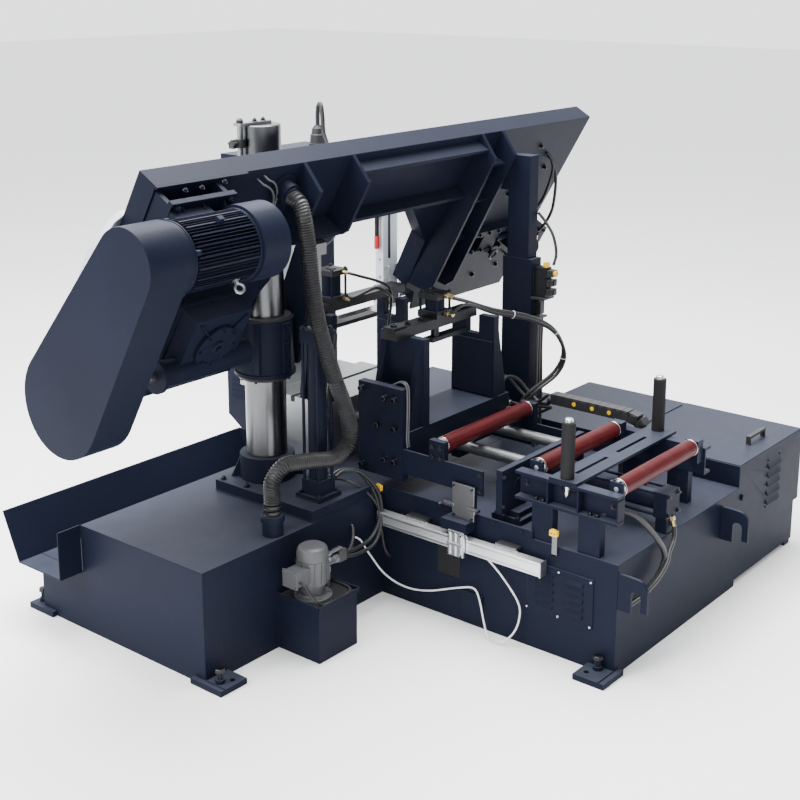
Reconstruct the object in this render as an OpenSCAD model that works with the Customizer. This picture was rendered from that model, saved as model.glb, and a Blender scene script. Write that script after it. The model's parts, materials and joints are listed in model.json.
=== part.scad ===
// Column band saw with a tilted bow, a lift column, a telescopic guide post and a roller feed bed.
// Machine datum: X along the bow, +Y is the feed direction, +Z up, floor at z = 0, millimetres.

/* [Base] */
// height of the welded base [mm]
base_h = 477; // [465:1:490]
// sheet thickness of the base boxes [mm]
base_wall = 12; // [8:1:16]
// thickness of the levelling pads [mm]
pad_t = 25; // [20:1:30]
// radius of the anchor bolt holes [mm]
anchor_r = 11; // [9:0.5:13]

/* [Column] */
// diameter of the lift column [mm]
column_d = 180; // [170:1:186]
// wall of the sliding sleeve round the column [mm]
sleeve_wall = 38; // [34:1:40]
// height of the column top above the floor [mm]
column_top = 2095; // [2060:1:2140]
// diameter of the lift cylinder rod [mm]
lift_rod_d = 50; // [40:1:54]

/* [Bow] */
// thickness of the bow plate box [mm]
bow_t = 97; // [95:1:100]
// thickness of the bow ribs [mm]
rib_t = 20; // [14:1:20]
// radius of the two band wheels [mm]
wheel_r = 380; // [378:0.5:381]
// width of the band [mm]
band_w = 41; // [34:1:42]

/* [Drive] */
// radius of the motor cowl [mm]
cowl_r = 145; // [135:1:150]
// depth of the belt guard [mm]
guard_depth = 175; // [165:1:190]

/* [Feed] */
// diameter of the feed rollers [mm]
roller_d = 72; // [64:1:76]
// height of the clamping jaws above the bed [mm]
jaw_h = 390; // [360:1:390]
// diameter of the feed guide bars [mm]
bar_d = 50; // [40:1:56]

/* [Hidden] */
$fn = 32;
run = 0.05;                    // radial running clearance of shafts in bores
slide = 0.1;                   // clearance of flat slides
bow_tilt = 30;
bow_y = 1230;
bow_z = 1988;
x_min = -225 - guard_depth;    // outer face of the belt guard
x_max = 2796;                  // overhang of the coolant cabinet
hook_out = 130;
hook_r = 50;                   // radius of the hooks' backs
hook_mid = hook_r - hook_out;
y_min = -hook_out;             // tips of the lifting hooks
cab_back = 2432;
y_max = cab_back + 18;         // stop button on the back door
base_x = 2749;
base_xr = 2126;
front_x = 1073;
back_y0 = 1198;
back_y1 = 2225;
trough_y = 1940;
trough_z = 264;
trough_x = 1283;
hook_xs = [1074, 1950];
col_x = 818;
col_y = 1651;
col_r = column_d / 2;
hub_r = 122;
hub_top = 640;
plate_top = base_h + 50;
sleeve_z0 = 1008;
sleeve_z1 = 1261;
sleeve_r = col_r + run + sleeve_wall;
lift_x = 780;
lift_y = 1308;
lift_top = 1270;
post_x0 = 2030;
post_x1 = 2114;
post_y0 = 1076;
post_y1 = 1240;
post_top = 1385;
inner_x0 = 2036;
inner_x1 = 2108;
inner_y0 = 1098;
inner_y1 = 1220;
drive_x = 290;
idler_x = 2330;
wheel_s = 690;
wheel_n = 50;
band_t = 1.6;
arc_n = 30;
band_r = (wheel_r + run) / cos(90 / arc_n);
pocket_r = wheel_r + 8;
slack = 25;                   // travel of the idler wheel when the band is let loose
mot_n = -240;
mot_s = 125;
worm_n = -178;
worm_s = 807;
motor_x = -225;
bed_z = 780;
vise_y0 = 1065;
vise_y1 = 1310;
main_y0 = 1605;
main_y1 = 1775;
jaw_x = 1720;
jaw_fix = 1240;
main_press_x = jaw_fix + 60;
feed_press_x = jaw_fix + 195;
cut_y = bow_y + wheel_n * cos(bow_tilt) + (wheel_s + band_r) * sin(bow_tilt);
cut_z = bow_z + wheel_n * sin(bow_tilt) - (wheel_s + band_r) * cos(bow_tilt);
roller_z = 761;
uprights = [[1115, 270], [1855, 275]];
roll_r = roller_d / 2;
bar_r = bar_d / 2;
bar_xs = [1363, 1650];
bar_z = 670;
cab_x = 1320;
cab_y = 2232;
spindle_r = 30;
drive_r = 35;
pulley_x = -350;
pulley_w = 60;
arm_x0 = 1790;
arm_x1 = 1900;

// points along hoses and cables
suction_pts = [[444, 1254, 560.3], [444, 1254, 645], [436, 1240, 715], [498, 1230, 764],
  [630, 1215, 750], [760, 1200, 728], [832, 1190, 764], [852, 1186, 829], [812, 1182, 950],
  [752, 1180, 1078], [660, 1176, 1311], [617, 1172, 1485], [592, 1168, 1651],
  [572, 1168, 1770], [567, 1187, 1838.5],
  [567, 1232.64, 1864.82], [567, 1245.63, 1872.32]];
loop_pts = [[1435, 1134.7, 1311], [1435, 1105, 1311], [1460, 1040, 1300], [1560, 960, 1255], [1720, 880, 1205],
  [1880, 850, 1120], [1960, 840, 1000], [1950, 880, 890], [1850, 950, 800],
  [1838, 1010, 712], [1834, 1040, 700], [1834, 1064.7, 700]];
link_pts = [[1905, 852, 780], [1905, 780, 780], [1905, 560, 780], [1905, 440, 779], [1905, 395, 768],
  [1905, 372, 742], [1905, 395, 712], [1905, 440, 703], [1905, 520, 703]];

/* [Parts] */
// sub-part to build

// Helpers

module datum() translate([-(x_min + x_max) / 2, -(y_min + y_max) / 2, 0]) children();
module tilted() datum() translate([0, bow_y, bow_z]) rotate([bow_tilt, 0, 0]) children();
module blk(x0, x1, y0, y1, z0, z1) translate([x0, y0, z0]) cube([x1 - x0, y1 - y0, z1 - z0]);
module bar_x(x0, x1, y, z, r) translate([x0, y, z]) rotate([0, 90, 0]) cylinder(r = r, h = x1 - x0);
module bar_y(y0, y1, x, z, r) translate([x, y0, z]) rotate([-90, 0, 0]) cylinder(r = r, h = y1 - y0);
module bar_zz(x, y, z0, z1, r) translate([x, y, z0]) cylinder(r = r, h = z1 - z0);
// profile of (y, z) points run along X
module run_x(x0, x1, pts) translate([x0, 0, 0]) rotate([90, 0, 90])
  linear_extrude(x1 - x0) polygon(pts);
// profile of (x, z) points run along Y
module run_y(y0, y1, pts) translate([0, y1, 0]) rotate([90, 0, 0])
  linear_extrude(y1 - y0) polygon(pts);
// on the tilted bow: s is the distance below its top edge
module slab(n0, n1) translate([0, n1, 0]) rotate([90, 0, 0]) linear_extrude(n1 - n0) children();
module tbox(x0, x1, n0, n1, s0, s1) blk(x0, x1, n0, n1, -s1, -s0);
module disc_n(x, s, n0, n1, r) bar_y(n0, n1, x, -s, r);
module rib(x, pts) run_x(x - rib_t / 2, x + rib_t / 2, [for (p = pts) [p[0], -p[1]]]);

// round tube through given points, sides per ring set by the caller
function unit(v) = v / norm(v);
function tangent(p, i) = unit(p[min(i + 1, len(p) - 1)] - p[max(i - 1, 0)]);
// next side direction, carried along so that the tube doesn't twist
function carry(u, t) = unit(u - (u * t) * t);
function sides(p, i, u) = i == len(p) ? []
  : let (v = carry(u, tangent(p, i))) concat([v], sides(p, i + 1, v));
function rings(p, r, n) = let (us = sides(p, 0, [0.3, 0.9, 0.1])) [for (i = [0:len(p) - 1])
  let (t = tangent(p, i), u = us[i], w = cross(t, u))
  for (k = [0:n - 1]) p[i] + r[i % len(r)] * (u * cos(360 * k / n) + w * sin(360 * k / n))];
function skin(m, n) = concat([[for (k = [0:n - 1]) k]],
  [for (i = [0:m - 2]) for (k = [0:n - 1])
    [i * n + k, (i + 1) * n + k, (i + 1) * n + (k + 1) % n, i * n + (k + 1) % n]],
  [[for (k = [n - 1:-1:0]) (m - 1) * n + k]]);
module tube(p, r, n = 8) polyhedron(rings(p, r, n), skin(len(p), n), convexity = 10);
// hollow tube: ribbed outside over fine points, smooth bore over the same points
function wall(m, n, o, flip) = [for (i = [0:m - 2]) for (k = [0:n - 1])
  let (q = [o + i * n + k, o + (i + 1) * n + k, o + (i + 1) * n + (k + 1) % n, o + i * n + (k + 1) % n])
  flip ? [q[3], q[2], q[1], q[0]] : q];
module pipe(p, r, pb, rb, n = 8) {
  m = len(p);
  b = len(pb);
  o = m * n;
  polyhedron(concat(rings(p, r, n), rings(pb, [rb], n)), concat(wall(m, n, 0, false), wall(b, n, o, true),
    [for (k = [0:n - 1]) [k, (k + 1) % n, o + (k + 1) % n, o + k]],
    [for (k = [0:n - 1]) [(m - 1) * n + (k + 1) % n, (m - 1) * n + k, o + (b - 1) * n + k,
      o + (b - 1) * n + (k + 1) % n]]), convexity = 10);
}
// smooth curve through points, with a number of steps for each span
function curve(p, step) = concat([for (i = [0:len(p) - 2])
  let (a = p[max(i - 1, 0)], b = p[i], c = p[i + 1], d = p[min(i + 2, len(p) - 1)],
    m = max(1, round(norm(c - b) / step)))
  for (j = [0:m - 1]) let (t = j / m)
    0.5 * (2 * b + (c - a) * t + (2 * a - 5 * b + 4 * c - d) * t * t
      + (3 * b - a - 3 * c + d) * t * t * t)], [p[len(p) - 1]]);

// Base

module box_shell(x0, x1, y0, y1, z0, z1) blk(x0 + base_wall, x1 - base_wall,
  y0 + base_wall, y1 - base_wall, z0 + base_wall, z1 - base_wall);

// round-backed hook plate with a slot open from below
module hook(x) difference() {
  union() {
    blk(x, x + 16, -hook_out, 0, 232, 392);
    blk(x, x + 16, hook_mid, 0, 391, 444);
    bar_x(x, x + 16, hook_mid, 394, hook_r);
  }
  blk(x - 1, x + 17, hook_mid - 22, hook_mid + 22, 231, 366);
  bar_x(x - 1, x + 17, hook_mid, 366, 22);
  blk(x - 1, x + 17, -hook_out - 1, hook_mid - 21, 231, 256);
}

module cross_base() color("midnightblue") datum() difference() {
  union() {
    blk(0, base_x, back_y0, back_y1, 0, base_h);
    // drain socket for the suction hose
    bar_zz(444, 1254, base_h - 1, 560, 44);
  }
  // suction socket bore
  bar_zz(444, 1254, 530, 561, 34);
  // closed inner rooms
  box_shell(0, base_x, back_y0, trough_y, 0, base_h);
  blk(base_wall, trough_x, trough_y - 2 * base_wall, back_y1 - base_wall,
    base_wall, trough_z - base_wall);
  // room for the chip tray
  blk(-1, trough_x + 6, trough_y, back_y1 + 1, trough_z, base_h + 1);
}

module front_base() color("midnightblue") datum() difference() {
  union() {
    blk(front_x, base_xr, 0, back_y0, 0, base_h);
    // edge strip and louvre panel on the left face
    blk(front_x, front_x + 8, 400, back_y0, base_h - 1, base_h + 34);
    blk(front_x - 6, front_x + 1, 104, 424, 172, 385);
    for (y = [150, 290]) for (k = [0:4])
      run_y(y, y + 80, [[front_x - 5, 205 + k * 34], [front_x - 18, 205 + k * 34],
        [front_x - 5, 225 + k * 34]]);
  }
  box_shell(front_x, base_xr, 0, back_y0, 0, base_h);
  // hand recess in the left face
  blk(front_x - 1, front_x + base_wall - 3, 764, 884, 193, 334);
}

module pump_tank() color("midnightblue") datum() {
  blk(408, 640, 970, back_y0, 0, 231);
  blk(400, 648, 962, back_y0, 230, 237);
}

module lifting_hooks() color("midnightblue") datum() for (x = hook_xs) hook(x);

module chip_tray() color("midnightblue") datum() {
  tray = 6;
  run_x(-115, trough_x + tray, [[trough_y, trough_z], [back_y1, trough_z], [2321, base_h],
    [2321 - tray, base_h], [back_y1 - tray, trough_z + tray], [trough_y, trough_z + tray]]);
  run_x(-115, 0, [[trough_y, trough_z + 1], [trough_y + tray, trough_z + 1],
    [trough_y + tray, base_h], [trough_y, base_h]]);
  run_x(trough_x, trough_x + tray, [[trough_y, trough_z + 1], [back_y1, trough_z + 1],
    [2321 - tray / 2, base_h], [trough_y, base_h]]);
}

module coolant_cabinet() color("midnightblue") datum() difference() {
  top = base_h + 98;
  union() {
    blk(base_xr, x_max, 3, back_y0, 220, top);
    blk(base_xr, base_x, 3, back_y0, 27, 221);
    for (y = [10, 1130]) blk(2690, base_x, y, y + 60, 0, 28);
    for (k = [0:4]) run_x(2419, 2552, [[4, 310 + k * 44], [-9, 300 + k * 44], [4, 338 + k * 44]]);
  }
  // closed tank room and the strainer well under the lid
  blk(base_xr + base_wall, 2735, 15, 1186, 40, top - 90);
  blk(2180, 2740, 60, 560, top - 60, top + 1);
}

module pad(x, y, px, py) {
  difference() {
    union() {
      blk(min(x, x + px), max(x, x + px), min(y, y + py), max(y, y + py), 0, pad_t);
      children();
    }
    bar_zz(x + px * 0.6, y + py * 0.7, -1, pad_t + 1, anchor_r);
  }
  bar_zz(x + px * 0.22, y + py * 0.5, pad_t, pad_t + 60, 12);
  translate([x + px * 0.22, y + py * 0.5, pad_t]) cylinder(r = 20, h = 16, $fn = 6);
}

module foot_pads() color("dimgray") datum() {
  pad(0, back_y0, 118, -109) blk(-23, 0, 1089, 1263, 0, pad_t);
  pad(0, back_y1, 118, 75) blk(-23, 0, 2138, 2300, 0, pad_t);
  pad(front_x, 0, -118, 120) blk(955, 1110, -22, 0, 0, pad_t);
  pad(base_x, back_y1, -118, 75) blk(base_x, base_x + 23, 2138, 2300, 0, pad_t);
}

module coolant_pump() color("gray") datum() {
  bar_zz(499, 1085, 237, 247, 74);
  bar_zz(499, 1085, 247, 300, 50);
  bar_zz(499, 1085, 300, 400, 64);
  bar_zz(499, 1085, 400, 425, 58);
  blk(405, 450, 1050, 1120, 320, 385);
  // delivery pipe and valve body
  bar_zz(600, 1100, 237, 340, 14);
  bar_x(540, 640, 1100, 340, 16);
  bar_zz(600, 1100, 340, 372, 12);
}

module pump_lever() color("red") datum() {
  difference() {
    blk(586, 614, 1086, 1114, 372.1, 380);
    bar_zz(600, 1100, 370, 382, 6 + run);
  }
  blk(614, 690, 1094, 1106, 372.1, 380);
}

// Column and lift

module column_base() color("midnightblue") datum() difference() {
  union() {
    blk(629, 1010, 1204, 1790, base_h, plate_top);
    bar_zz(col_x, col_y, plate_top - 1, hub_top, hub_r, $fn = 48);
    for (a = [0:3]) translate([col_x, col_y, 0]) rotate([0, 0, 45 + 90 * a])
      run_y(-8, 8, [[hub_r - 6, plate_top - 1], [hub_r + 40, plate_top - 1], [hub_r - 6, hub_top - 10]]);
  }
  bar_zz(col_x, col_y, plate_top, hub_top + 1, col_r, $fn = 64);
}

module main_column() color("silver") datum() {
  bar_zz(col_x, col_y, plate_top, column_top - 4, col_r, $fn = 64);
  translate([col_x, col_y, column_top - 4]) cylinder(r1 = col_r, r2 = col_r - 4, h = 4, $fn = 64);
}

module limit_stop() color("dimgray") datum() {
  run_y(1630, 1672, [[688, column_top], [870, column_top], [870, column_top + 12],
    [688, column_top + 12]]);
  bar_zz(704, col_y, 1640, column_top + 1, 12);
  bar_zz(704, col_y, column_top + 11, column_top + 32, 11);
  difference() {
    bar_zz(704, col_y, 2005, 2040, 22);
    bar_x(670, 690, col_y, 2022, 6 + run);
  }
  for (x = [790, 840]) translate([x, col_y, column_top + 11]) cylinder(r = 9, h = 11, $fn = 6);
}

module star_knob() color("black") datum() {
  bar_x(672, 689.5, col_y, 2022, 6);
  for (a = [0:4]) translate([660, col_y, 2022]) rotate([72 * a, 0, 0]) translate([-8, 0, 12])
    rotate([0, 90, 0]) cylinder(r = 8, h = 20, $fn = 10);
  bar_x(652, 674, col_y, 2022, 13);
}

module lift_cylinder() color("midnightblue") datum() difference() {
  union() {
    blk(lift_x - 70, lift_x + 70, 1240, 1376, plate_top, plate_top + 18);
    blk(lift_x - 50, lift_x + 50, lift_y - 50, lift_y + 50, plate_top + 17, 610);
    bar_zz(lift_x, lift_y, 600, 1220, 40);
    blk(lift_x - 50, lift_x + 50, lift_y - 50, lift_y + 50, 1212, lift_top);
    for (i = [-1, 1]) for (j = [-1, 1])
      bar_zz(lift_x + 41 * i, lift_y + 41 * j, 600, 1215, 7, $fn = 12);
  }
  bar_zz(lift_x, lift_y, 620, lift_top + 1, lift_rod_d / 2 + run);
}

module guide_post() color("midnightblue") datum() difference() {
  union() {
    blk(post_x0, post_x1, post_y0, post_y1, base_h, post_top);
    blk(2000, 2124, 1040, 1290, base_h, base_h + 20);
    // hydraulic valves on the front of the post
    blk(2050, 2100, 1006, post_y0 + 1, 1210, 1350);
    for (k = [0:2]) bar_y(966, 1007, 2075, 1235 + 45 * k, 14);
    blk(2058, 2092, 1036, post_y0 + 1, 1120, 1180);
  }
  blk(inner_x0 - slide, inner_x1 + slide, inner_y0 - slide, inner_y1 + slide,
    base_h + 20, post_top + 1);
}

// Feed line

module channel(x, side) difference() {
  blk(x, x + 53, 17, 498, 630, 750);
  blk(side > 0 ? x - 1 : x + 10, side > 0 ? x + 43 : x + 54, 16, 499, 642, 738);
}

module roller_frame() color("midnightblue") datum() difference() {
  union() {
    difference() {
      channel(1080, 1);
      blk(1120, 1134, 230, 300, 700, 751);
    }
    channel(1800, -1);
    for (x = [1085, 1808]) for (y = [94, 314]) blk(x, x + 40, y, y + 100, base_h, 630);
    for (y = [58, 430]) {
      blk(1133, 1146, y - 30, y + 30, 690, 790);
      blk(1752, 1800, y - 30, y + 30, 690, 790);
    }
    // slotted cross bar between the upright rollers
    difference() {
      blk(1080, 1895, 205, 335, 750, 762);
      for (x = [1180, 1500]) blk(x, x + 240, 262, 278, 749, 763);
    }
    for (p = uprights) {
      bar_zz(p[0], p[1], 761, 1000, 10);
      translate([p[0], p[1], 997]) cylinder(r = 17, h = 12, $fn = 6);
    }
  }
  for (y = [58, 430]) bar_x(1132, 1790, y, roller_z, 10 + run);
}

module roller(y) bar_x(1133.5, 1789.5, y, roller_z, 10);

module rear_roller() color("firebrick") datum() {
  roller(58);
  bar_x(1150, 1745, 58, roller_z, roll_r);
}

module front_roller() color("firebrick") datum() {
  roller(430);
  bar_x(1150, 1745, 430, roller_z, roll_r);
}

module upright(p) difference() {
  bar_zz(p[0], p[1], 762.2, 996, 28);
  bar_zz(p[0], p[1], 762, 999, 10 + run);
}

module left_upright_roller() color("black") datum() upright(uprights[0]);
module right_upright_roller() color("black") datum() upright(uprights[1]);

module feed_bed() color("slategray") datum() difference() {
  union() {
    blk(1102, 1738, 575, 605, 525, 718);
    blk(1150, 1290, 510, 660, base_h, base_h + 25);
    blk(1165, 1275, 530, 640, base_h + 25, 527);
    blk(1560, 1700, 510, 660, base_h, 527);
    for (x = bar_xs) bar_y(560, 1640, x, bar_z, bar_r);
  }
  bar_y(574, 606, 1500, 600, 20 + run);
}

module feed_cylinder() color("midnightblue") datum() difference() {
  union() {
    for (y = [0, 515]) blk(1445, 1555, y, y + 60, 545, 655);
    bar_y(40, 530, 1500, 600, 42);
    for (i = [-1, 1]) for (j = [-1, 1]) bar_y(50, 520, 1500 + 46 * i, 600 + 46 * j, 7, $fn = 12);
    blk(1460, 1540, 4, 56, base_h, 546);
    blk(1460, 1540, 519, 570, base_h, 546);
  }
  bar_y(60, 576, 1500, 600, 20 + run);
}

module drag_chain() color("black") datum() {
  tube(link_pts, [26], 8);
  blk(1870, 1940, 345, 500, 665, 679);
  blk(1880, 1930, 360, 480, base_h, 666);
}

module scale_bar() color("silver") datum() {
  blk(1010, 1050, 322, 1168, 356, 415);
  for (y = [450, 918]) {
    blk(1030, front_x, y, y + 105, 422, 434);
    blk(1040, 1062, y, y + 105, 414, 423);
  }
}

module vise_cheek(y0, y1, x_tip, z0, z1) {
  // fixed jaw plate with two stiffeners toward the column side
  blk(jaw_fix - 40, jaw_fix, y0, y1, z0, z1);
  for (y = [y0 + 10, y1 - 40]) run_y(y, y + 30, [[jaw_fix - 39, z1 - 10], [x_tip, z0 + 40], [x_tip, z0],
    [jaw_fix - 39, z0]]);
}

module moving_jaw(y0, y1, x_far, z0, z1, slot_y) difference() {
  union() {
    blk(jaw_x, jaw_x + 40, y0, y1, z0, z1);
    for (y = [y0 + 8, y1 - 34]) run_y(y, y + 26, [[jaw_x + 39, z1 - 20], [jaw_x + 39, z0],
      [x_far, z0], [x_far, z0 + 40]]);
  }
  // room for the clamp bar when the jaw closes
  blk(jaw_x - 1, jaw_x + 41, slot_y - 36, slot_y + 36, 1075, z1 + 1);
}

module press_body(x, y, z0, z1) {
  blk(x - 55, x + 55, y - 55, y + 55, z0 - 1, z0 + 30);
  bar_zz(x, y, z0 + 29, z1 - 24, 44);
  blk(x - 55, x + 55, y - 55, y + 55, z1 - 25, z1);
  for (i = [-1, 1]) for (j = [-1, 1]) bar_zz(x + 46 * i, y + 46 * j, z0 + 20, z1 - 20, 6, $fn = 12);
}

module work_bed() color("slategray") datum() difference() {
  union() {
    blk(1150, 1790, 1590, 1940, 560, bed_z);
    blk(1180, 1760, 1610, 1900, base_h, 561);
  }
  for (x = bar_xs) bar_y(1589, 1640, x, bar_z, bar_r);
  blk(1149, 1791, cut_y - 12, cut_y + 12, 752, bed_z + 1);
}

module main_vise() color("midnightblue") datum() {
  vise_cheek(main_y0, main_y1, jaw_fix - 85, bed_z, 1190);
  difference() {
    union() {
      blk(1030, 1785, 1650, 1735, 1190, 1230);
      press_body(main_press_x, 1692, 1230, 1383);
    }
    bar_zz(main_press_x, 1692, 1189, 1363, 20 + run);
  }
}

module outfeed_table() color("slategray") datum() {
  blk(1180, 1740, 1940, 2190, bed_z - 25, bed_z);
  for (x = [1330, 1690]) blk(x, x + 40, 2050, 2170, base_h, bed_z - 25);
}

module clamp_bar(x, y, x0, x1, z_top) {
  bar_zz(x, y, 1119, z_top, 20);
  blk(x0, x1, y - 25, y + 25, 1100, 1120);
}

module main_clamp() color("silver") datum() 
  clamp_bar(main_press_x, 1692, main_press_x - 48, main_press_x + 300, 1350);
module feed_clamp() color("silver") datum() 
  clamp_bar(feed_press_x, 1190, feed_press_x - 47, feed_press_x + 218, 1290);

module main_jaw() color("midnightblue") datum()
  moving_jaw(main_y0, main_y1, 1795, bed_z + 0.3, bed_z + jaw_h, 1692);

// Control cabinet

module control_cabinet() color("darkslategray") datum() difference() {
  union() {
    run_x(cab_x, cab_x + 600, [[cab_y, 455], [2330, 455], [cab_back - 4, 520], [cab_back - 4, 1850],
      [cab_y, 1850]]);
    blk(cab_x + 60, cab_x + 540, back_y1, cab_y + 1, 380, 470);
    // cable gland on the top
    bar_zz(1850, 2272, 1849, 1900, 34);
    bar_zz(1850, 2272, 1899, 1925, 24);
  }
  run_x(cab_x + 3, cab_x + 597, [[cab_y + 3, 480], [2320, 480], [cab_back - 4, 545], [cab_back - 3, 546],
    [cab_back - 3, 1820], [cab_y + 3, 1820]]);
}

module cabinet_door() color("darkslategray") datum() difference() {
  union() {
    blk(cab_x + 4, cab_x + 598, cab_back - 3.9, cab_back, 530, 1840);
    for (z = [600, 1640]) bar_zz(cab_x + 598, cab_back, z, z + 140, 3.8);
  }
  bar_y(cab_back - 5, cab_back + 1, cab_x + 80, 1200, 14 + run);
}

module stop_button() color("red") datum() {
  bar_y(cab_back - 30, y_max, cab_x + 80, 1200, 14);
}

module cabinet_lid() color("midnightblue") datum() {
  top = base_h + 98;
  blk(2132, 2790, 6, 618, top + 0.2, top + 3.2);
  bar_x(2180, 2740, 618, top + 4, 3.6);
  for (x = [2404, 2557]) blk(x, x + 12, 90, 110, top + 3, top + 34);
  blk(2404, 2569, 90, 110, top + 33, top + 45);
}

// Bow

left_pts = [[-119, 0], [-119, 900], [-20, 1075], [180, 1140], [748, 1140], [748, 351]];
right_pts = [[1530, 351], [1805, 621], [1835, 909], [1939, 969], [1990, 1095], [2770, 1095],
  [2770, 0]];

module bow_frame() color("midnightblue") difference() {
  tilted() difference() {
    union() {
      slab(0, bow_t) polygon([for (p = concat(left_pts, right_pts)) [p[0], -p[1]]]);
      // flange of the suction hose
      disc_n(567, 108, -44, 1, 46);
      disc_n(567, 108, -12, 1, 64);
    }
    for (x = [drive_x, idler_x - slack, idler_x]) disc_n(x, wheel_s, 12, bow_t + 1, pocket_r, $fn = 96);
    // band runs between the wheels
    tbox(drive_x, idler_x, 24, bow_t + 1, wheel_s - wheel_r - 10, wheel_s - wheel_r + 12);
    tbox(drive_x, 760, 24, bow_t + 1, wheel_s + wheel_r - 22, wheel_s + wheel_r + 24);
    tbox(1900, idler_x, 12, bow_t + 1, wheel_s + wheel_r - 30, 1100);
    disc_n(drive_x, wheel_s, -1, 13, drive_r + 8);
    tbox(idler_x - 70, idler_x + 45, -1, 13, wheel_s - 36, wheel_s + 36);
  }
  datum() bar_zz(col_x, col_y, 900, 1720, sleeve_r, $fn = 64);
}

module bow_ribs() color("midnightblue") tilted() {
  for (x = [648, 939]) rib(x, [[0, 0], [-130, 50], [-130, 300], [-110, 332], [0, 345]]);
  for (x = [1839, 2000]) rib(x, [[0, 0], [-120, 56], [-137, 800], [-110, 850], [0, 880]]);
  tbox(648 + rib_t / 2, 939 - rib_t / 2, -110, 0, 312, 332);
  tbox(939 + rib_t / 2, 1839 - rib_t / 2, -70, 0, 40, 56);
  tbox(939 + rib_t / 2, 1839 - rib_t / 2, -70, 0, 300, 320);
  for (s = [120, 330, 560]) tbox(1839 + rib_t / 2, 2000 - rib_t / 2, -90, 0, s, s + 14);
}

module column_sleeve() color("midnightblue") datum() difference() {
  union() {
    bar_zz(col_x, col_y, sleeve_z0, sleeve_z1, sleeve_r, $fn = 64);
    bar_zz(col_x, col_y, sleeve_z0, sleeve_z0 + 16, sleeve_r + 6, $fn = 64);
    // tie plate up to the beam
    run_x(925, 945, [[1560, sleeve_z0 + 30], [1690, sleeve_z0 + 30], [1690, sleeve_z1],
      [1489, 1732], [1406, 1684]]);
  }
  bar_zz(col_x, col_y, sleeve_z0 - 1, sleeve_z1 + 1, col_r + run, $fn = 64);
}

// y of the beam's front plane at a height
function face_y(z) = bow_y + (bow_z - z) * tan(bow_tilt);

module post_slide() color("midnightblue") datum() {
  blk(inner_x0, inner_x1, inner_y0, inner_y1, 950, 1875);
  run_x(inner_x0, inner_x1, [[inner_y1 - 1, 1705], [face_y(1705), 1705], [face_y(1875), 1875],
    [inner_y1 - 1, 1875]]);
}

module lift_rod() color("silver") datum() {
  bar_zz(lift_x, lift_y, 1000, 1600, lift_rod_d / 2);
  // rod head cut to the sloping shelf
  run_x(lift_x - 40, lift_x + 40, [[lift_y - 28, 1585], [lift_y + 28, 1585],
    [lift_y + 28, shelf_z(lift_y + 28) - 0.1], [lift_y - 28, shelf_z(lift_y - 28) - 0.1]]);
}

// height of the shelf's underside (s = 332) at a given y
function shelf_z(y) = bow_z + (y - bow_y) * tan(bow_tilt) - 332 / cos(bow_tilt);

module gearbox() color("midnightblue") tilted() difference() {
  union() {
    tbox(140, 440, -200, 0, 540, 860);
    disc_n(drive_x, wheel_s, -215, -199, 100);
    bar_x(60, 520, worm_n, -worm_s, 56);
    bar_x(44, 61, worm_n, -worm_s, 70);
  }
  disc_n(drive_x, wheel_s, -150, 1, drive_r + run);
  bar_x(43, 160, worm_n, -worm_s, 19 + run);
}

module motor() color("midnightblue") tilted() difference() {
  union() {
    bar_x(motor_x, -190, mot_n, -mot_s, 130);
    bar_x(-191, 130, mot_n, -mot_s, 112);
    for (a = [0:19]) translate([0, mot_n, -mot_s]) rotate([18 * a, 0, 0])
      blk(-170, 120, -3, 3, 108, 132);
    bar_x(129, 262, mot_n, -mot_s, cowl_r);
    tbox(-110, 70, -150, -95, 45, 205);
    // slotted plate and struts to the beam
    tbox(-112, 200, -95, -75, 10, 262);
    for (x = [-112, 170]) tbox(x, x + 20, -76, 0, 24, 232);
    // eye bolt
    tbox(-30, -6, mot_n - 10, mot_n + 10, -24, 14);
  }
  bar_x(motor_x - 1, -150, mot_n, -mot_s, 19 + run);
}

module guard_shape(d) hull() {
  translate([mot_n, -mot_s]) circle(r = 141 - d, $fn = 48);
  translate([worm_n, -worm_s]) circle(r = 208 - d, $fn = 48);
}

module belt_guard() color("midnightblue") tilted() difference() {
  translate([x_min, 0, 0]) rotate([90, 0, 90]) linear_extrude(guard_depth) guard_shape(0);
  translate([x_min + 4, 0, 0]) rotate([90, 0, 90]) linear_extrude(guard_depth - 8) guard_shape(4);
  bar_x(motor_x - 5, motor_x + 1, mot_n, -mot_s, 26);
  bar_x(motor_x - 5, motor_x + 1, worm_n, -worm_s, 26);
}

module motor_pulley() color("dimgray") tilted() {
  bar_x(pulley_x - 10, -152, mot_n, -mot_s, 19);
  bar_x(pulley_x, pulley_x + pulley_w, mot_n, -mot_s, 80);
}

module worm_pulley() color("dimgray") tilted() {
  bar_x(pulley_x - 10, 158, worm_n, -worm_s, 19);
  bar_x(pulley_x, pulley_x + pulley_w, worm_n, -worm_s, 160);
}

module wheel(x) {
  difference() {
    disc_n(x, wheel_s, 28, 72, wheel_r, $fn = 96);
    for (n = [27, 56]) disc_n(x, wheel_s, n, n + 17, wheel_r - 40, $fn = 64);
    for (a = [0:4]) rotate([0, 0, 0]) translate([x, 0, -wheel_s]) rotate([0, 72 * a, 0])
      bar_y(40, 60, 200, 0, 62, $fn = 24);
    children();
  }
}

module drive_wheel() color("gainsboro") tilted() {
  wheel(drive_x);
  disc_n(drive_x, wheel_s, -148, 88, drive_r);
  disc_n(drive_x, wheel_s, 22, 84, 64);
}

module idler_wheel() color("gainsboro") tilted() difference() {
  union() {
    wheel(idler_x);
    disc_n(idler_x, wheel_s, 22, 84, 60);
  }
  disc_n(idler_x, wheel_s, 20, 90, spindle_r + run);
}

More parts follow.
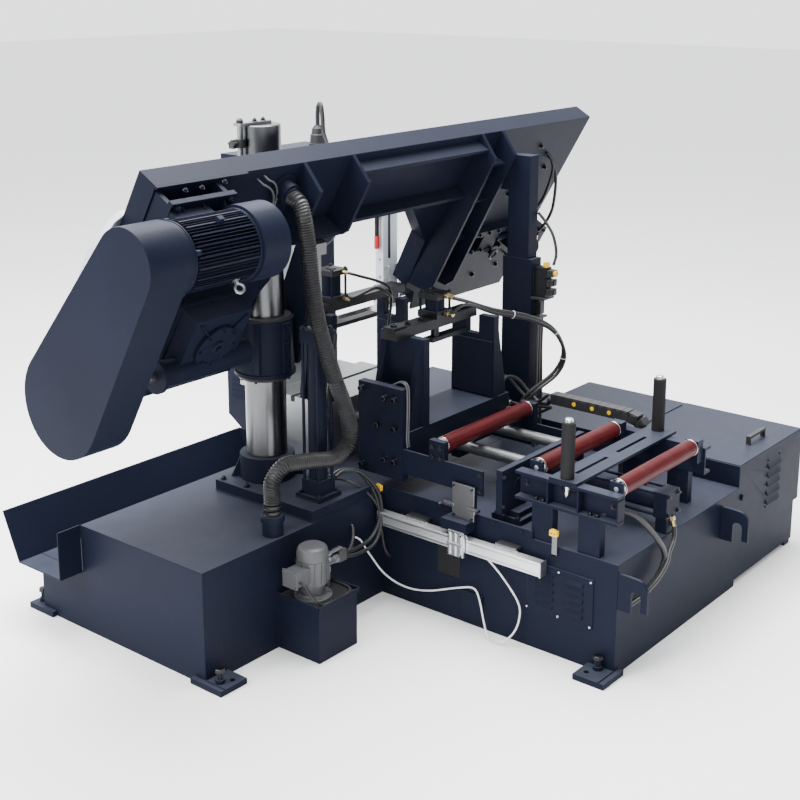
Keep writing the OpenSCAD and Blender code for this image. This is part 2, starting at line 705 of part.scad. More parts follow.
module idler_block() color("dimgray") tilted() {
  tbox(2262, 2400, -40, -0.1, wheel_s - 48 + slide, wheel_s + 48 - slide);
  disc_n(idler_x, wheel_s, -1, 90, spindle_r);
  bar_x(2399, 2600, -50 + 20, -wheel_s, 18);
}

module tension_unit() color("dimgray") tilted() difference() {
  union() {
    // rails of the band tension slide
    for (s = [wheel_s - 78, wheel_s + 48]) tbox(2180, 2480, -44, 0, s, s + 30);
    tbox(2500, 2560, -100, 0, wheel_s - 55, wheel_s + 55);
    bar_x(2550, 2700, -50, -wheel_s, 46);
    tbox(2690, 2750, -100, 0, wheel_s - 55, wheel_s + 55);
    bar_zz(2590, -60, -wheel_s + 40, -wheel_s + 120, 9, $fn = 12);
  }
  bar_x(2499, 2650, -30, -wheel_s, 18 + run);
}

// band: closed strip, its width turned upright between the guides
function turn_at(x) = x < 760 ? 0 : x < 1085 ? 60 * (x - 760) / 325 : x < 1905 ? 60
  : x < 2300 ? 60 * (2300 - x) / 395 : 0;
low_x = [560, 760, 830, 900, 970, 1040, 1085, 1500, 1905, 1980, 2060, 2140, 2220, 2300];
band_mid = band_r + band_t / 2;
band_path = concat(
  [for (i = [0:arc_n]) let (a = 90 + 180 * i / arc_n)
    [drive_x + band_mid * cos(a), band_mid * sin(a) - wheel_s, cos(a), sin(a), 0]],
  [for (x = low_x) [x, -band_mid - wheel_s, 0, -1, turn_at(x)]],
  [for (i = [0:arc_n]) let (a = -90 + 180 * i / arc_n)
    [idler_x + band_mid * cos(a), band_mid * sin(a) - wheel_s, cos(a), sin(a), 0]]);
function band_ring(q) = let (h = band_w / 2, t = band_t / 2, c = cos(q[4]), s = sin(q[4]),
    w = [0, c, s], o = [q[2], 0, q[3]] * c + [0, s, 0] * (q[4] > 0 ? 1 : 0), m = [q[0], wheel_n, q[1]])
  [m - w * h - o * t, m - w * h + o * t, m + w * h + o * t, m + w * h - o * t];

module band() color("silver") tilted() {
  m = len(band_path);
  pts = [for (q = band_path) for (p = band_ring(q)) p];
  faces = [for (i = [0:m - 1]) for (k = [0:3])
    let (a = i * 4 + k, b = i * 4 + (k + 1) % 4, c = (i + 1) % m * 4 + (k + 1) % 4, d = (i + 1) % m * 4 + k)
    for (f = [[a, b, c], [a, c, d]]) f];
  polyhedron(pts, faces, convexity = 10);
}

arm_pts = [[1503, 1768], [cut_y - 18, 1722], [cut_y - 18, cut_z + 24], [cut_y + 30, cut_z + 24],
  [cut_y + 30, 1790], [1552, 1842]];

module guide_head(x0, x1) difference() {
  blk(x0, x1, cut_y - 20, cut_y + 40, cut_z - 8, cut_z + 26);
  blk(x0 - 1, x1 + 1, cut_y - 2.5, cut_y + 2.5, cut_z - 9, cut_z + band_w / 2 + 3);
}

module arm_slider(x0, x1) difference() {
  // slider block hooked over the dovetail rail
  tbox(x0, x1, bow_t + 0.2, bow_t + 62, 236, 316);
  tbox(x0 - 1, x1 + 1, bow_t, bow_t + 30 + slide, 262 - slide, 290 + slide);
}

module guide_arm() color("lightgray") {
  datum() guide_head(arm_x0, arm_x1);
  tilted() arm_slider(arm_x0, arm_x1);
  difference() {
    datum() run_x(arm_x0, arm_x1, arm_pts);
    datum() bar_x(arm_x0 - 1, arm_x0 + 36, 1814, 1560, 12 + run);
  }
}

module lock_lever() color("firebrick") datum() {
  bar_x(arm_x0 - 30, arm_x0 + 34, 1814, 1560, 12);
  bar_x(arm_x0 - 30, arm_x0 - 0.3, 1814, 1560, 18);
  blk(arm_x0 - 28, arm_x0 - 12, 1807, 1821, 1430, 1561);
  bar_zz(arm_x0 - 20, 1814, 1385, 1450, 13);
}

module fixed_guide() color("lightgray") {
  datum() run_x(1090, 1170, arm_pts);
  datum() guide_head(1090, 1170);
  // dovetail rail of both guides behind the beam, with the fixed slider block
  tilted() tbox(1060, 1930, bow_t, bow_t + 30, 262, 290);
  tilted() tbox(1090, 1170, bow_t, bow_t + 62, 236, 316);
}

left_door_pts = [[-119, 200], [-150, 228], [-206, 379], [-206, 800], [-140, 1000], [0, 1120],
  [240, 1150], [680, 1150], [680, 200]];
right_door_pts = [[1940, 200], [1940, 940], [2000, 1095], [2768, 1095], [2768, 200]];

module door(pts) difference() {
  slab(bow_t + 0.2, bow_t + 28) polygon([for (p = pts) [p[0], -p[1]]]);
  slab(bow_t - 1, bow_t + 23) offset(delta = -5) polygon([for (p = pts) [p[0], -p[1]]]);
}

module left_door() color("whitesmoke") tilted() {
  door(left_door_pts);
  bar_zz(-206, bow_t + 0.1, -780, -400, 8);
}

module right_door() color("whitesmoke") tilted() {
  door(right_door_pts);
  bar_zz(2779, bow_t + 0.1, -1000, -300, 8);
  tbox(2760, 2779, bow_t + 0.2, bow_t + 7, 300, 1000);
}

module suction_hose() color("black") datum()
  pipe(curve(suction_pts, 7.5), [34, 30.5], curve(suction_pts, 60), 27);

// Feed carriage

module feed_carriage() color("midnightblue") datum() difference() {
  union() {
    blk(1100, 1850, vise_y0, vise_y1, 600, bed_z - 2);
    // lug and rod of the feed cylinder
    blk(1460, 1540, vise_y0, 1110, 560, 601);
    bar_y(332, vise_y0 + 1, 1500, 600, 20);
    blk(1060, 1101, 1074, 1321, 563, 977);
    for (p = [[1105, 650], [1105, 930], [1160, 650], [1160, 930], [1290, 600], [1290, 950]])
      translate([1061, p[0], p[1]]) rotate([0, -90, 0]) cylinder(r = 13, h = 14, $fn = 12);
    blk(1065, 1076, 648, 1075, 600, 710);
    blk(1764, 1775, 648, 1066, 600, 688);
    blk(1065, 1096, 850, 930, 690, 788);
    blk(1744, 1775, 850, 930, 640, 788);
    // reading head of the scale on its plate
    blk(1050, front_x - 1, 679, 779, 446, 601);
    blk(1000, front_x - 1, 684, 815, 440, 486);
  }
  for (x = bar_xs) bar_y(vise_y0 - 1, vise_y1 + 1, x, bar_z, bar_r + run);
  bar_x(1070, 1790, 890, roller_z, 10 + run);
}

module carriage_roller() color("firebrick") datum() {
  bar_x(1070.5, 1774, 890, roller_z, 10);
  bar_x(1100, 1740, 890, roller_z, roll_r);
}

module feed_vise() color("midnightblue") datum() {
  vise_cheek(vise_y0, vise_y1, jaw_fix - 125, bed_z - 2, 1170);
  difference() {
    union() {
      blk(1109, 1695, 1147, 1233, 1170, 1214);
      press_body(feed_press_x, 1190, 1214, 1324);
    }
    bar_zz(feed_press_x, 1190, 1169, 1304, 20 + run);
    blk(feed_press_x + 85, feed_press_x + 225, 1165, 1215, 1169, 1215);
  }
}

module feed_jaw() color("midnightblue") datum()
  moving_jaw(vise_y0, vise_y1, 1830, bed_z - 1.7, bed_z - 2 + jaw_h, 1190);

module pressure_hose() color("black") datum() tube(loop_pts, [11], 8);

cross_base();
front_base();
pump_tank();
lifting_hooks();
chip_tray();
coolant_cabinet();
foot_pads();
coolant_pump();
column_base();
main_column();
limit_stop();
guide_post();
lift_cylinder();
roller_frame();
feed_bed();
feed_cylinder();
work_bed();
main_vise();
outfeed_table();
control_cabinet();
scale_bar();
drag_chain();
cabinet_lid();
pump_lever();
cabinet_door();
stop_button();
star_knob();
bow_frame();
bow_ribs();
column_sleeve();
post_slide();
lift_rod();
gearbox();
motor();
belt_guard();
band();
fixed_guide();
tension_unit();
suction_hose();
drive_wheel();
idler_block();
idler_wheel();
motor_pulley();
worm_pulley();
left_door();
right_door();
guide_arm();
lock_lever();
feed_carriage();
feed_vise();
pressure_hose();
carriage_roller();
feed_jaw();
feed_clamp();
main_jaw();
main_clamp();
rear_roller();
front_roller();
left_upright_roller();
right_upright_roller();
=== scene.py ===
"""Looks of a column band saw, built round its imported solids. Machine lengths are in millimetres."""
import json
import math

import bmesh
import bpy
from mathutils import Matrix, Vector


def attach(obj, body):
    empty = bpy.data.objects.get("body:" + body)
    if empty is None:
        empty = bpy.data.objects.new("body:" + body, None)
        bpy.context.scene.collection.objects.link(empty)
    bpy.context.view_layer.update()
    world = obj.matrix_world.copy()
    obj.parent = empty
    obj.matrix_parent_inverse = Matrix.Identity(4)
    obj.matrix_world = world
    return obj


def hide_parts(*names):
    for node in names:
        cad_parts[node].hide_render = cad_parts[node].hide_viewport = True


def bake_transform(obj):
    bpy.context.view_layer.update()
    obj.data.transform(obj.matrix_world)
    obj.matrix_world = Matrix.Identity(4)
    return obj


bl_info = {
    "name": "Column band saw",
    "version": (1, 0, 0),
    "blender": (4, 5, 0),
    "location": "View3D > Sidebar > Saw",
    "description": "Dresses the solids of a column band saw with fittings and finishes",
    "category": "Object",
}

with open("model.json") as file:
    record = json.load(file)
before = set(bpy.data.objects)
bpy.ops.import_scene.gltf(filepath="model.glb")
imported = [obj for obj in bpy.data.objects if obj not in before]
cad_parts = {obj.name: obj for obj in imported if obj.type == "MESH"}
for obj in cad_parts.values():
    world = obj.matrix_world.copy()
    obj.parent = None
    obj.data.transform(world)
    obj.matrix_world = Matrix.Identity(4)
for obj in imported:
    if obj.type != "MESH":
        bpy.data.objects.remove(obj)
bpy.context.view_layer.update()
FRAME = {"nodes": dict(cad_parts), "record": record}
BODY = {n: b for b, ns in FRAME["record"]["behaviour"]["bodies"].items() for n in ns}

# Machine points are in millimetres from the base's corner, and ORIGIN is the frame's origin among them.
# MM takes them to the frame's metres. BOW does so for points in the tilted bow's own axes: x is the
# machine's, y is square to the front plate, and z runs up its slope, so -s is s below its top edge.
ORIGIN = Vector((1198, 1160, 0))
BOW_AT, BOW_TILT = (0, 1230, 1988), math.radians(30)
MM = Matrix.Scale(0.001, 4) @ Matrix.Translation(-ORIGIN)
BOW = MM @ Matrix.Translation(BOW_AT) @ Matrix.Rotation(BOW_TILT, 4, "X")
X, Y, Z = Vector((1, 0, 0)), Vector((0, 1, 0)), Vector((0, 0, 1))
ZERO = Vector((0, 0, 0))
MOTOR = Vector((0, -240, -125))  # on the motor's axis, in the bow's axes
EIGHTH = math.tau / 8

CORD_STEP = 14  # between the points of a cord or hose
SMOOTH_ANGLE, BEVEL_ANGLE = math.radians(32), math.radians(38)


# Materials

class Sock:
    """An output socket whose operators add Math nodes."""

    def __init__(self, net, out):
        self.net, self.out = net, out

    def math(self, operation, a, b=0.0, clamp=False):
        return self.net.node("Math", {"operation": operation, "use_clamp": clamp}, {0: a, 1: b})

    def __add__(self, o):
        return self.math("ADD", self, o)

    def __sub__(self, o):
        return self.math("SUBTRACT", self, o)

    def __rsub__(self, o):
        return self.math("SUBTRACT", o, self)

    def __mul__(self, o):
        return self.math("MULTIPLY", self, o)

    __radd__, __rmul__ = __add__, __mul__

    def step(self, low, high):
        """0 below low, 1 above high."""
        return self.math("MULTIPLY", self - low, 1 / (high - low), clamp=True)


class Net:
    """A node tree that all nodes join through one method."""

    def __init__(self, tree):
        self.tree = tree

    def join(self, value, socket):
        if isinstance(value, Sock):
            self.tree.links.new(value.out, socket)
        else:
            socket.default_value = value

    def node(self, kind, settings=None, sockets=None, out=0):
        """Adds a node of a type: its settings first, then the values or links of its sockets."""
        n = self.tree.nodes.new("ShaderNode" + kind)
        for name, value in (settings or {}).items():
            setattr(n, name, value)
        for key, value in (sockets or {}).items():
            self.join(value, n.inputs[key])
        return Sock(self, n.outputs[out])

    def mix(self, fac, a, b):
        """A blend of two colours: a Mix node's colours are its sockets 6 and 7, and their blend is 2."""
        return self.node("Mix", {"data_type": "RGBA"}, {0: fac, 6: a, 7: b}, 2)


class Shader(Net):
    """A material with one Principled shader."""

    def __init__(self, name, **constants):
        self.mat = bpy.data.materials.new(name)
        self.mat.use_nodes = True
        super().__init__(self.mat.node_tree)
        self.bsdf = self.tree.nodes["Principled BSDF"]
        self.set(**constants)

    def set(self, **sockets):
        for name, value in sockets.items():
            self.join(value, self.bsdf.inputs[name.replace("_", " ").title().replace("Ior", "IOR")])

    def noise(self, size, scale=(1, 1, 1), detail=4.0):
        """Noise that is fixed to the piece; a scale under 1 draws it out along that axis."""
        place = self.node("Mapping", None, {"Vector": self.node("TexCoord", out="Object"), "Scale": scale})
        return self.node("TexNoise", None, {"Vector": place, "Scale": size, "Detail": detail})

    def bump(self, height, strength, distance):
        sockets = {"Height": height, "Strength": strength, "Distance": distance}
        self.set(normal=self.node("Bump", None, sockets))

    def upward(self, low=0.5, high=0.95):
        """1 on faces that look up."""
        normal = self.node("NewGeometry", out="Normal")
        return self.node("SeparateXYZ", None, {"Vector": normal}, out=2).step(low, high)


def shade(c, k=1.0):
    """A colour k times as bright, with its alpha."""
    return (c[0] * k, c[1] * k, c[2] * k, 1)


def paint(name, rgb, rough=0.42, top_blend=0.085, wear=0.12, level=0.045):
    """Sprayed machine enamel: slow tone drift, orange peel, a painted sheen with some dust on top faces,
    and fine scuffs.
    """
    s = Shader(name, specular_ior_level=level)
    drift, cloud = s.noise(1.6), s.noise(14, detail=6)
    scuff = s.noise(60, (1, 1, 0.2)).step(0.66, 0.8)
    tone = s.mix(drift.step(0.3, 0.7), shade(rgb, 0.86), shade(rgb, 1.16))
    tone = s.mix(scuff * wear, tone, shade([0.5 * c + 0.07 for c in rgb]))
    # Top faces blend towards pale blue-grey: mostly a painted sheen, with some dust in its cloudy spread.
    tone = s.mix(s.upward(0.84, 0.98) * (cloud * 0.5 + 0.5) * top_blend, tone, (0.42, 0.46, 0.58, 1))
    s.set(base_color=tone, roughness=cloud * 0.08 + (rough - 0.02) + scuff * 0.06)
    s.bump(s.noise(420, detail=2) * 0.6 + drift * 0.8, 0.12, 0.0008)
    return s.mat


def metal(name, rgb, rough=0.3, grain=(1, 1, 1), lines=0.3, stain=0.2, spread=0.2):
    """Bare metal with a directed grain and faint staining."""
    s = Shader(name, metallic=1.0)
    fine, cloud = s.noise(260, grain, 3), s.noise(7, detail=5)
    tone = s.mix(cloud.step(0.35, 0.75) * stain, shade(rgb), shade(rgb, 0.6))
    tone = s.mix(fine.step(0.45, 0.7) * 0.3, tone, shade(rgb, 0.8))
    s.set(base_color=tone, roughness=fine * spread + cloud * 0.6 * spread + (rough - 0.7 * spread))
    s.bump(fine, lines * 0.4, 0.0004)
    return s.mat


def plastic(name, rgb, rough=0.45, grit=0.3, gloss=0.0, top_blend=0.06):
    """Moulded plastic or rubber with a fine texture and dust."""
    s = Shader(name, coat_weight=gloss, specular_ior_level=0.3)
    cloud, grain = s.noise(22, detail=5), s.noise(700, detail=2)
    tone = s.mix(cloud.step(0.3, 0.75), shade(rgb, 0.82), shade(rgb, 1.2))
    tone = s.mix(s.upward() * cloud * top_blend, tone, (0.45, 0.44, 0.42, 1))
    s.set(base_color=tone, roughness=cloud * 0.16 + (rough - 0.06))
    s.bump(grain, grit, 0.0004)
    return s.mat


def roller_skin(name, rgb):
    """Worn polyurethane sleeve: lengthways streaks and lighter rubbed bands."""
    s = Shader(name, specular_ior_level=0.15)
    streak, rub = s.noise(30, (0.15, 3, 3), 5), s.noise(5, (3, 0.3, 0.3), 3)
    tone = s.mix(streak.step(0.35, 0.7), shade(rgb, 0.75), shade(rgb, 1.25))
    tone = s.mix(rub.step(0.5, 0.8) * 0.12, tone, shade([0.5 * c + 0.06 for c in rgb]))
    s.set(base_color=tone, roughness=streak * 0.25 + 0.36)
    s.bump(streak, 0.2, 0.0006)
    return s.mat


NAVY = (0.0072, 0.0092, 0.0185)
MAT = {}


def make_materials(frame_paint):
    """Fills MAT with the saw's finishes."""
    MAT.update(
        navy=paint("navy_enamel", frame_paint),
        cabinet=paint("cabinet_enamel", (0.0082, 0.0102, 0.0200), 0.44, wear=0.1),
        light=paint("light_grey_enamel", (0.62, 0.65, 0.70), 0.36, 0.01, 0.08, 0.5),
        pump=paint("grey_enamel", (0.06, 0.062, 0.066), 0.4, 0.02, 0.15, 0.4),
        chrome=metal("ground_chrome", (0.12, 0.123, 0.128), 0.28, (1, 1, 0.05), 0.01, 0.04, 0.05),
        steel=metal("milled_steel", (0.30, 0.31, 0.32), 0.36, (0.2, 1, 1)),
        dark=metal("blackened_steel", (0.035, 0.036, 0.04), 0.42),
        zinc=metal("zinc_plate", (0.62, 0.64, 0.66), 0.30, stain=0.1),
        gold=metal("yellow_zinc", (0.55, 0.43, 0.20), 0.30, stain=0.25),
        iron=metal("machined_iron", (0.19, 0.19, 0.20), 0.36),
        band=metal("band_steel", (0.5, 0.51, 0.52), 0.28, (0.05, 1, 1)),
        scale=metal("scale_alloy", (0.86, 0.87, 0.88), 0.44, (1, 0.03, 1), 0.15, 0.05),
        red=roller_skin("red_roller_sleeve", (0.058, 0.0045, 0.006)),
        rubber=plastic("black_rubber", (0.004, 0.004, 0.005), 0.75, 0.4, top_blend=0.01),
        black=plastic("black_plastic", (0.018, 0.018, 0.020), 0.42, 0.25),
        hose=plastic("ribbed_hose", (0.012, 0.012, 0.013), 0.36, 0.2, top_blend=0.12),
        cable=plastic("black_cable", (0.016, 0.016, 0.018), 0.35, 0.1),
        grey=plastic("grey_cable", (0.07, 0.073, 0.08), 0.4, 0.1),
        white=plastic("white_plastic", (0.66, 0.68, 0.70), 0.4, 0.1),
        yellow=plastic("yellow_plastic", (0.70, 0.42, 0.004), 0.45, 0.15, top_blend=0.0),
        blue=plastic("blue_plastic", (0.03, 0.16, 0.42), 0.35, 0.15),
        grip=plastic("red_plastic", (0.45, 0.02, 0.02), 0.35, 0.15, 0.3),
    )


# Geometry

class Geo:
    """Collects solids in one mesh, in the machine's or the bow's axes."""

    def __init__(self, space=MM):
        self.bm, self.space = bmesh.new(), space

    def ring(self, pts):
        return [self.bm.verts.new(p) for p in pts]

    def skin(self, rings, closed=False):
        """Joins rings of equal length, and caps the ends unless the last ring meets the first."""
        n = len(rings[0])
        pairs = list(zip(rings, rings[1:])) + ([(rings[-1], rings[0])] if closed else [])
        for a, b in pairs:
            for k in range(n):
                self.bm.faces.new((a[k], b[k], b[(k + 1) % n], a[(k + 1) % n]))
        if not closed:
            self.bm.faces.new(rings[0])
            self.bm.faces.new(rings[-1][::-1])
        return self

    def prism(self, pts, a, b):
        """Polygon points moved from offset a to offset b."""
        return self.skin([self.ring([Vector(p) + d for p in pts]) for d in (a, b)])

    def box(self, x0, x1, y0, y1, z0, z1):
        base = [(x0, y0, z0), (x0, y1, z0), (x1, y1, z0), (x1, y0, z0)]
        return self.prism(base, ZERO, Z * (z1 - z0))

    def disc(self, c, u, w, r, seg):
        """A ring of seg points round c in the plane of u and w."""
        return self.ring([c + (u * math.cos(a) + w * math.sin(a)) * r for a in turn(seg)])

    def run_x(self, x0, x1, pts):
        """A (y, z) outline drawn out along x."""
        return self.prism([(0, y, z) for y, z in pts], X * x0, X * x1)

    def run_y(self, y0, y1, pts):
        """An (x, z) outline drawn out along y."""
        return self.prism([(x, 0, z) for x, z in pts], Y * y0, Y * y1)

    def lathe(self, at, axis, profile, seg=24):
        """Revolves (distance along the axis, radius) pairs."""
        axis = Vector(axis).normalized()
        u = axis.orthogonal().normalized()
        w = axis.cross(u)
        return self.skin([self.disc(Vector(at) + axis * t, u, w, max(r, 0.01), seg) for t, r in profile])

    def rod(self, a, b, r, seg=24):
        """A round bar from a to b with chamfered ends."""
        a, b = Vector(a), Vector(b)
        d = (b - a).length
        c = min(r * 0.12, d * 0.2, 3)
        return self.lathe(a, b - a, [(0, r - c), (c, r), (d - c, r), (d, r - c)], seg)

    def hexbolt(self, at, axis, r):
        """A washer, a hexagon head and the shank's end, for a head of about 2.2 r across."""
        self.lathe(at, axis, [(0, r * 1.5), (r * 0.22, r * 1.5)], 20)
        c = Vector(at) + Vector(axis).normalized() * (r * 0.2)
        self.lathe(c, axis, [(0, r * 1.12), (r * 0.75, r * 1.12), (r * 0.95, r * 0.9)], 6)
        return self.lathe(c, axis, [(r * 0.9, r * 0.55), (r * 1.35, r * 0.5)], 12)

    def capscrew(self, at, axis, r):
        """A round head of radius r with its socket."""
        return self.lathe(at, axis, [(0, r * 0.96), (r * 0.1, r), (r * 1.1, r), (r * 1.25, r * 0.88),
                                     (r * 1.25, r * 0.5), (r * 0.7, r * 0.5)], 18)

    def torus(self, at, axis, big, small, seg=24, sides=8):
        """A round wire of radius small, bent to a ring of radius big."""
        axis = Vector(axis).normalized()
        u = axis.orthogonal().normalized()
        w = axis.cross(u)
        rings = []
        for a in turn(seg):
            d = u * math.cos(a) + w * math.sin(a)
            rings.append(self.disc(Vector(at) + d * big, d, axis, small, sides))
        return self.skin(rings, closed=True)

    def sweep(self, path, radii, seg):
        """Carries a circle along a path, its radii repeating in turn."""
        rings, u = [], None
        for i, p in enumerate(path):
            t = (path[min(i + 1, len(path) - 1)] - path[max(i - 1, 0)]).normalized()
            u = t.orthogonal().normalized() if u is None else (u - t * u.dot(t)).normalized()
            rings.append(self.disc(p, u, t.cross(u), radii[i % len(radii)], seg))
        return self.skin(rings)

    def tube(self, pts, r, seg=10):
        """A plain hose or cable."""
        return self.sweep(through(pts), [r], seg)

    def ribbed(self, pts, r, seg, pitch, depth):
        """A hose with a rib per pitch."""
        return self.sweep(through(pts, pitch / 4), [r, r - depth / 2, r - depth, r - depth / 2], seg)

    def weld(self, pts, r=4):
        """A rippled bead along straight runs."""
        return self.sweep(curve([Vector(p) for p in pts], 7, smooth=False), [r * 0.82, r], 6)

    def bolts(self, places, axis, r):
        """Hexagon bolts."""
        for at in places:
            self.hexbolt(at, axis, r)
        return self

    def caps(self, places, axis, r):
        """Socket head cap screws."""
        for at in places:
            self.capscrew(at, axis, r)
        return self

    def union(self, points, r, tip):
        """A hose union: a hexagon, then its round sleeve."""
        a, b, c = points
        return self.rod(a, b, r, 6).rod(b, c, tip)

    def done(self, name, body, mat, bevel=0.0, replaces=(), slot=None):
        """Ends the mesh as a piece that rides on a body; the slot argument is not used."""
        self.bm.transform(self.space)
        bmesh.ops.recalc_face_normals(self.bm, faces=self.bm.faces)
        return finish(self.bm, name, body, mat, bevel, replaces)


def turn(n, start=0.0):
    """Angles of n equal steps of one turn."""
    return [start + math.tau * k / n for k in range(n)]


def curve(p, step, smooth=True):
    """Points along a Catmull-Rom curve, or along the straight runs."""
    out = []
    for i in range(len(p) - 1):
        a, b, c, d = p[max(i - 1, 0)], p[i], p[i + 1], p[min(i + 2, len(p) - 1)]
        m = max(1, round((c - b).length / step))
        for j in range(m):
            t = j / m
            out.append(0.5 * (2 * b + (c - a) * t + (2 * a - 5 * b + 4 * c - d) * t * t
                              + (3 * b - a - 3 * c + d) * t ** 3) if smooth else b.lerp(c, t))
    return out + [p[-1]]


def through(pts, step=CORD_STEP):
    """The smooth path of a cord or hose through points."""
    return curve([Vector(p) for p in pts], step)


def around(c, r, n, start=0.0, axis="z"):
    """n points on a circle round c, across the named axis."""
    i, j = {"x": (1, 2), "y": (0, 2), "z": (0, 1)}[axis]
    out = []
    for a in turn(n, start):
        p = Vector(c)
        p[i] += r * math.cos(a)
        p[j] += r * math.sin(a)
        out.append(p)
    return out


def arc(y, z, r, first, step, n):
    """n (y, z) points on an arc; its angles in degrees start at -y and turn towards +z."""
    angles = [math.radians(first + step * k) for k in range(n)]
    return [(y - r * math.cos(a), z + r * math.sin(a)) for a in angles]


def corners(cx, cy, d):
    """The four corners round a press or a cylinder, in rows."""
    return [(cx + d * i, cy + d * j) for i in (-1, 1) for j in (-1, 1)]


def finish(bm, name, body, mat, bevel, replaces=(), other=None, where=None):
    for f in bm.faces:
        f.smooth = True
        if where and where(f.calc_center_median() * 1000 + ORIGIN):
            f.material_index = 1
    for e in bm.edges:
        if len(e.link_faces) != 2 or e.calc_face_angle() > SMOOTH_ANGLE:
            e.smooth = False
    mesh = bpy.data.meshes.new(name)
    bm.to_mesh(mesh)
    bm.free()
    mesh.materials.append(MAT[mat])
    if other:
        mesh.materials.append(MAT[other])
    obj = bpy.data.objects.new(name, mesh)
    bpy.context.scene.collection.objects.link(obj)
    if bevel:
        m = obj.modifiers.new("edges", "BEVEL")
        m.width, m.segments, m.limit_method = bevel, 2, "ANGLE"
        m.angle_limit, m.harden_normals, m.use_clamp_overlap = BEVEL_ANGLE, True, True
    if body:
        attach(obj, body)
        if replaces:
            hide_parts(*replaces)
    return obj


def keep(node, mat):
    """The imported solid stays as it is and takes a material."""
    mesh = FRAME["nodes"][node].data
    mesh.materials.clear()
    mesh.materials.append(MAT[mat])


def dress(node, mat, bevel=0.002, other=None, where=None):
    """A copy of a solid with its flat faces merged and its edges rounded, shown in its place.
    Faces whose machine point passes where() take the other material."""
    src = FRAME["nodes"][node]
    bm = bmesh.new()
    bm.from_mesh(src.data)
    bmesh.ops.remove_doubles(bm, verts=bm.verts, dist=2e-5)
    bmesh.ops.dissolve_limit(bm, angle_limit=math.radians(1), verts=bm.verts, edges=bm.edges)
    return finish(bm, node + "_skin", BODY[node], mat, bevel, [node], other, where)


# Where faces of a dressed solid change finish, by their machine point
def is_press(p):
    """Bars, end plates and tie rods are black, the cylinder itself is painted."""
    low, high = (1191, 1383) if p.y > 1500 else (1171, 1324)
    return p.z > low and not low + 60 < p.z < high - 18


def is_valve(p):
    return p.y < 1075 and p.z > 1100


def is_shaft(p):
    return not 1100.5 < p.x < 1739.5 if p.y > 600 else not 1150.5 < p.x < 1744.5


def is_bar(p):
    return p.y > 606 and p.z > 640


def is_handle(p):
    return p.z > 581 and p.y < 200


def is_bracket(p):
    return p.z > 419 or p.x > 1054


def is_grip(p):
    return p.z < 1452


def is_collar(p):
    return 2004 < p.z < 2041


def is_rail(p):
    return not 1088 < p.x < 1172


# Routes that part.scad also holds, in machine millimetres
SUCTION = [(444, 1254, 560.3), (444, 1254, 645), (436, 1240, 715), (498, 1230, 764), (630, 1215, 750),
           (760, 1200, 728), (832, 1190, 764), (852, 1186, 829), (812, 1182, 950), (752, 1180, 1078),
           (660, 1176, 1311), (617, 1172, 1485), (592, 1168, 1651), (572, 1168, 1770),
           (567, 1187, 1838.5), (567, 1232.64, 1864.82), (567, 1245.63, 1872.32)]
PRESSURE = [(1435, 1134.7, 1311), (1435, 1105, 1311), (1460, 1040, 1300), (1560, 960, 1255),
            (1720, 880, 1205), (1880, 850, 1120), (1960, 840, 1000), (1950, 880, 890), (1850, 950, 800),
            (1838, 1010, 712), (1834, 1040, 700), (1834, 1064.7, 700)]
CHAIN = [(852, 780), (780, 780), (560, 780), (440, 779), (395, 768), (372, 742), (395, 712), (440, 703),
         (520, 703)]
SENSOR = [(880, 1199, 330), (900, 1180, 318), (945, 1165, 240), (1010, 1130, 130), (1046, 1043, 82),
          (1050, 919, 100), (1050, 752, 165), (1049, 676, 186), (1044, 641, 150), (1026, 600, 55),
          (1004, 560, 12), (1000, 505, 10), (1022, 455, 55), (1044, 437, 120), (1050, 450, 195),
          (1050, 551, 300), (1036, 640, 372), (1024, 690, 412), (1024, 712, 440)]
UMBILICAL = [(1850, 2272, 1951), (1850, 2272, 2010), (1846, 2262, 2052), (1836, 2240, 2062),
             (1828, 2224, 2040), (1822, 2212, 1990), (1812, 2190, 1900), (1792, 2080, 1770),
             (1765, 1900, 1715), (1745, 1660, 1745), (1740, 1500, 1790), (1740, 1440, 1820)]
DONE = {"FINISHED"}

# The studio: pale all round but for a dark side, which the bow's front plate mirrors
STUDIO_WHITE, STUDIO_DARK = (0.97, 0.98, 1, 1), (0.07, 0.075, 0.09, 1)
DARK_SIDE = (0.60, -0.78, -0.18)
FLOOR_HALF = 40000
# Each light's place and size in metres and its share of the key light's power
LIGHTS = (("key", (-5.5, 2.0, 5.0), 4.0, 1.0),
          ("top", (0.5, 1.0, 6.5), 5.0, 2.2),
          ("front", (-3.5, -6.0, 3.0), 3.0, 0.05))
LIT_POINT = Vector((0, 0, 0.8))
# The photograph's view, worked out from the saw's straight edges
CAMERA_AT, CAMERA_SENSOR, CAMERA_LENS, CAMERA_SHIFT = (-4.452, -3.610, 2.750), 36, 61.465, -0.125
CAMERA_YAW, CAMERA_PITCH = math.radians(39.332), math.radians(13.862)
FAR_END = 200


def run(path):
    """The length of a path in metres."""
    return sum((b - a).length for a, b in zip(path, path[1:])) / 1000


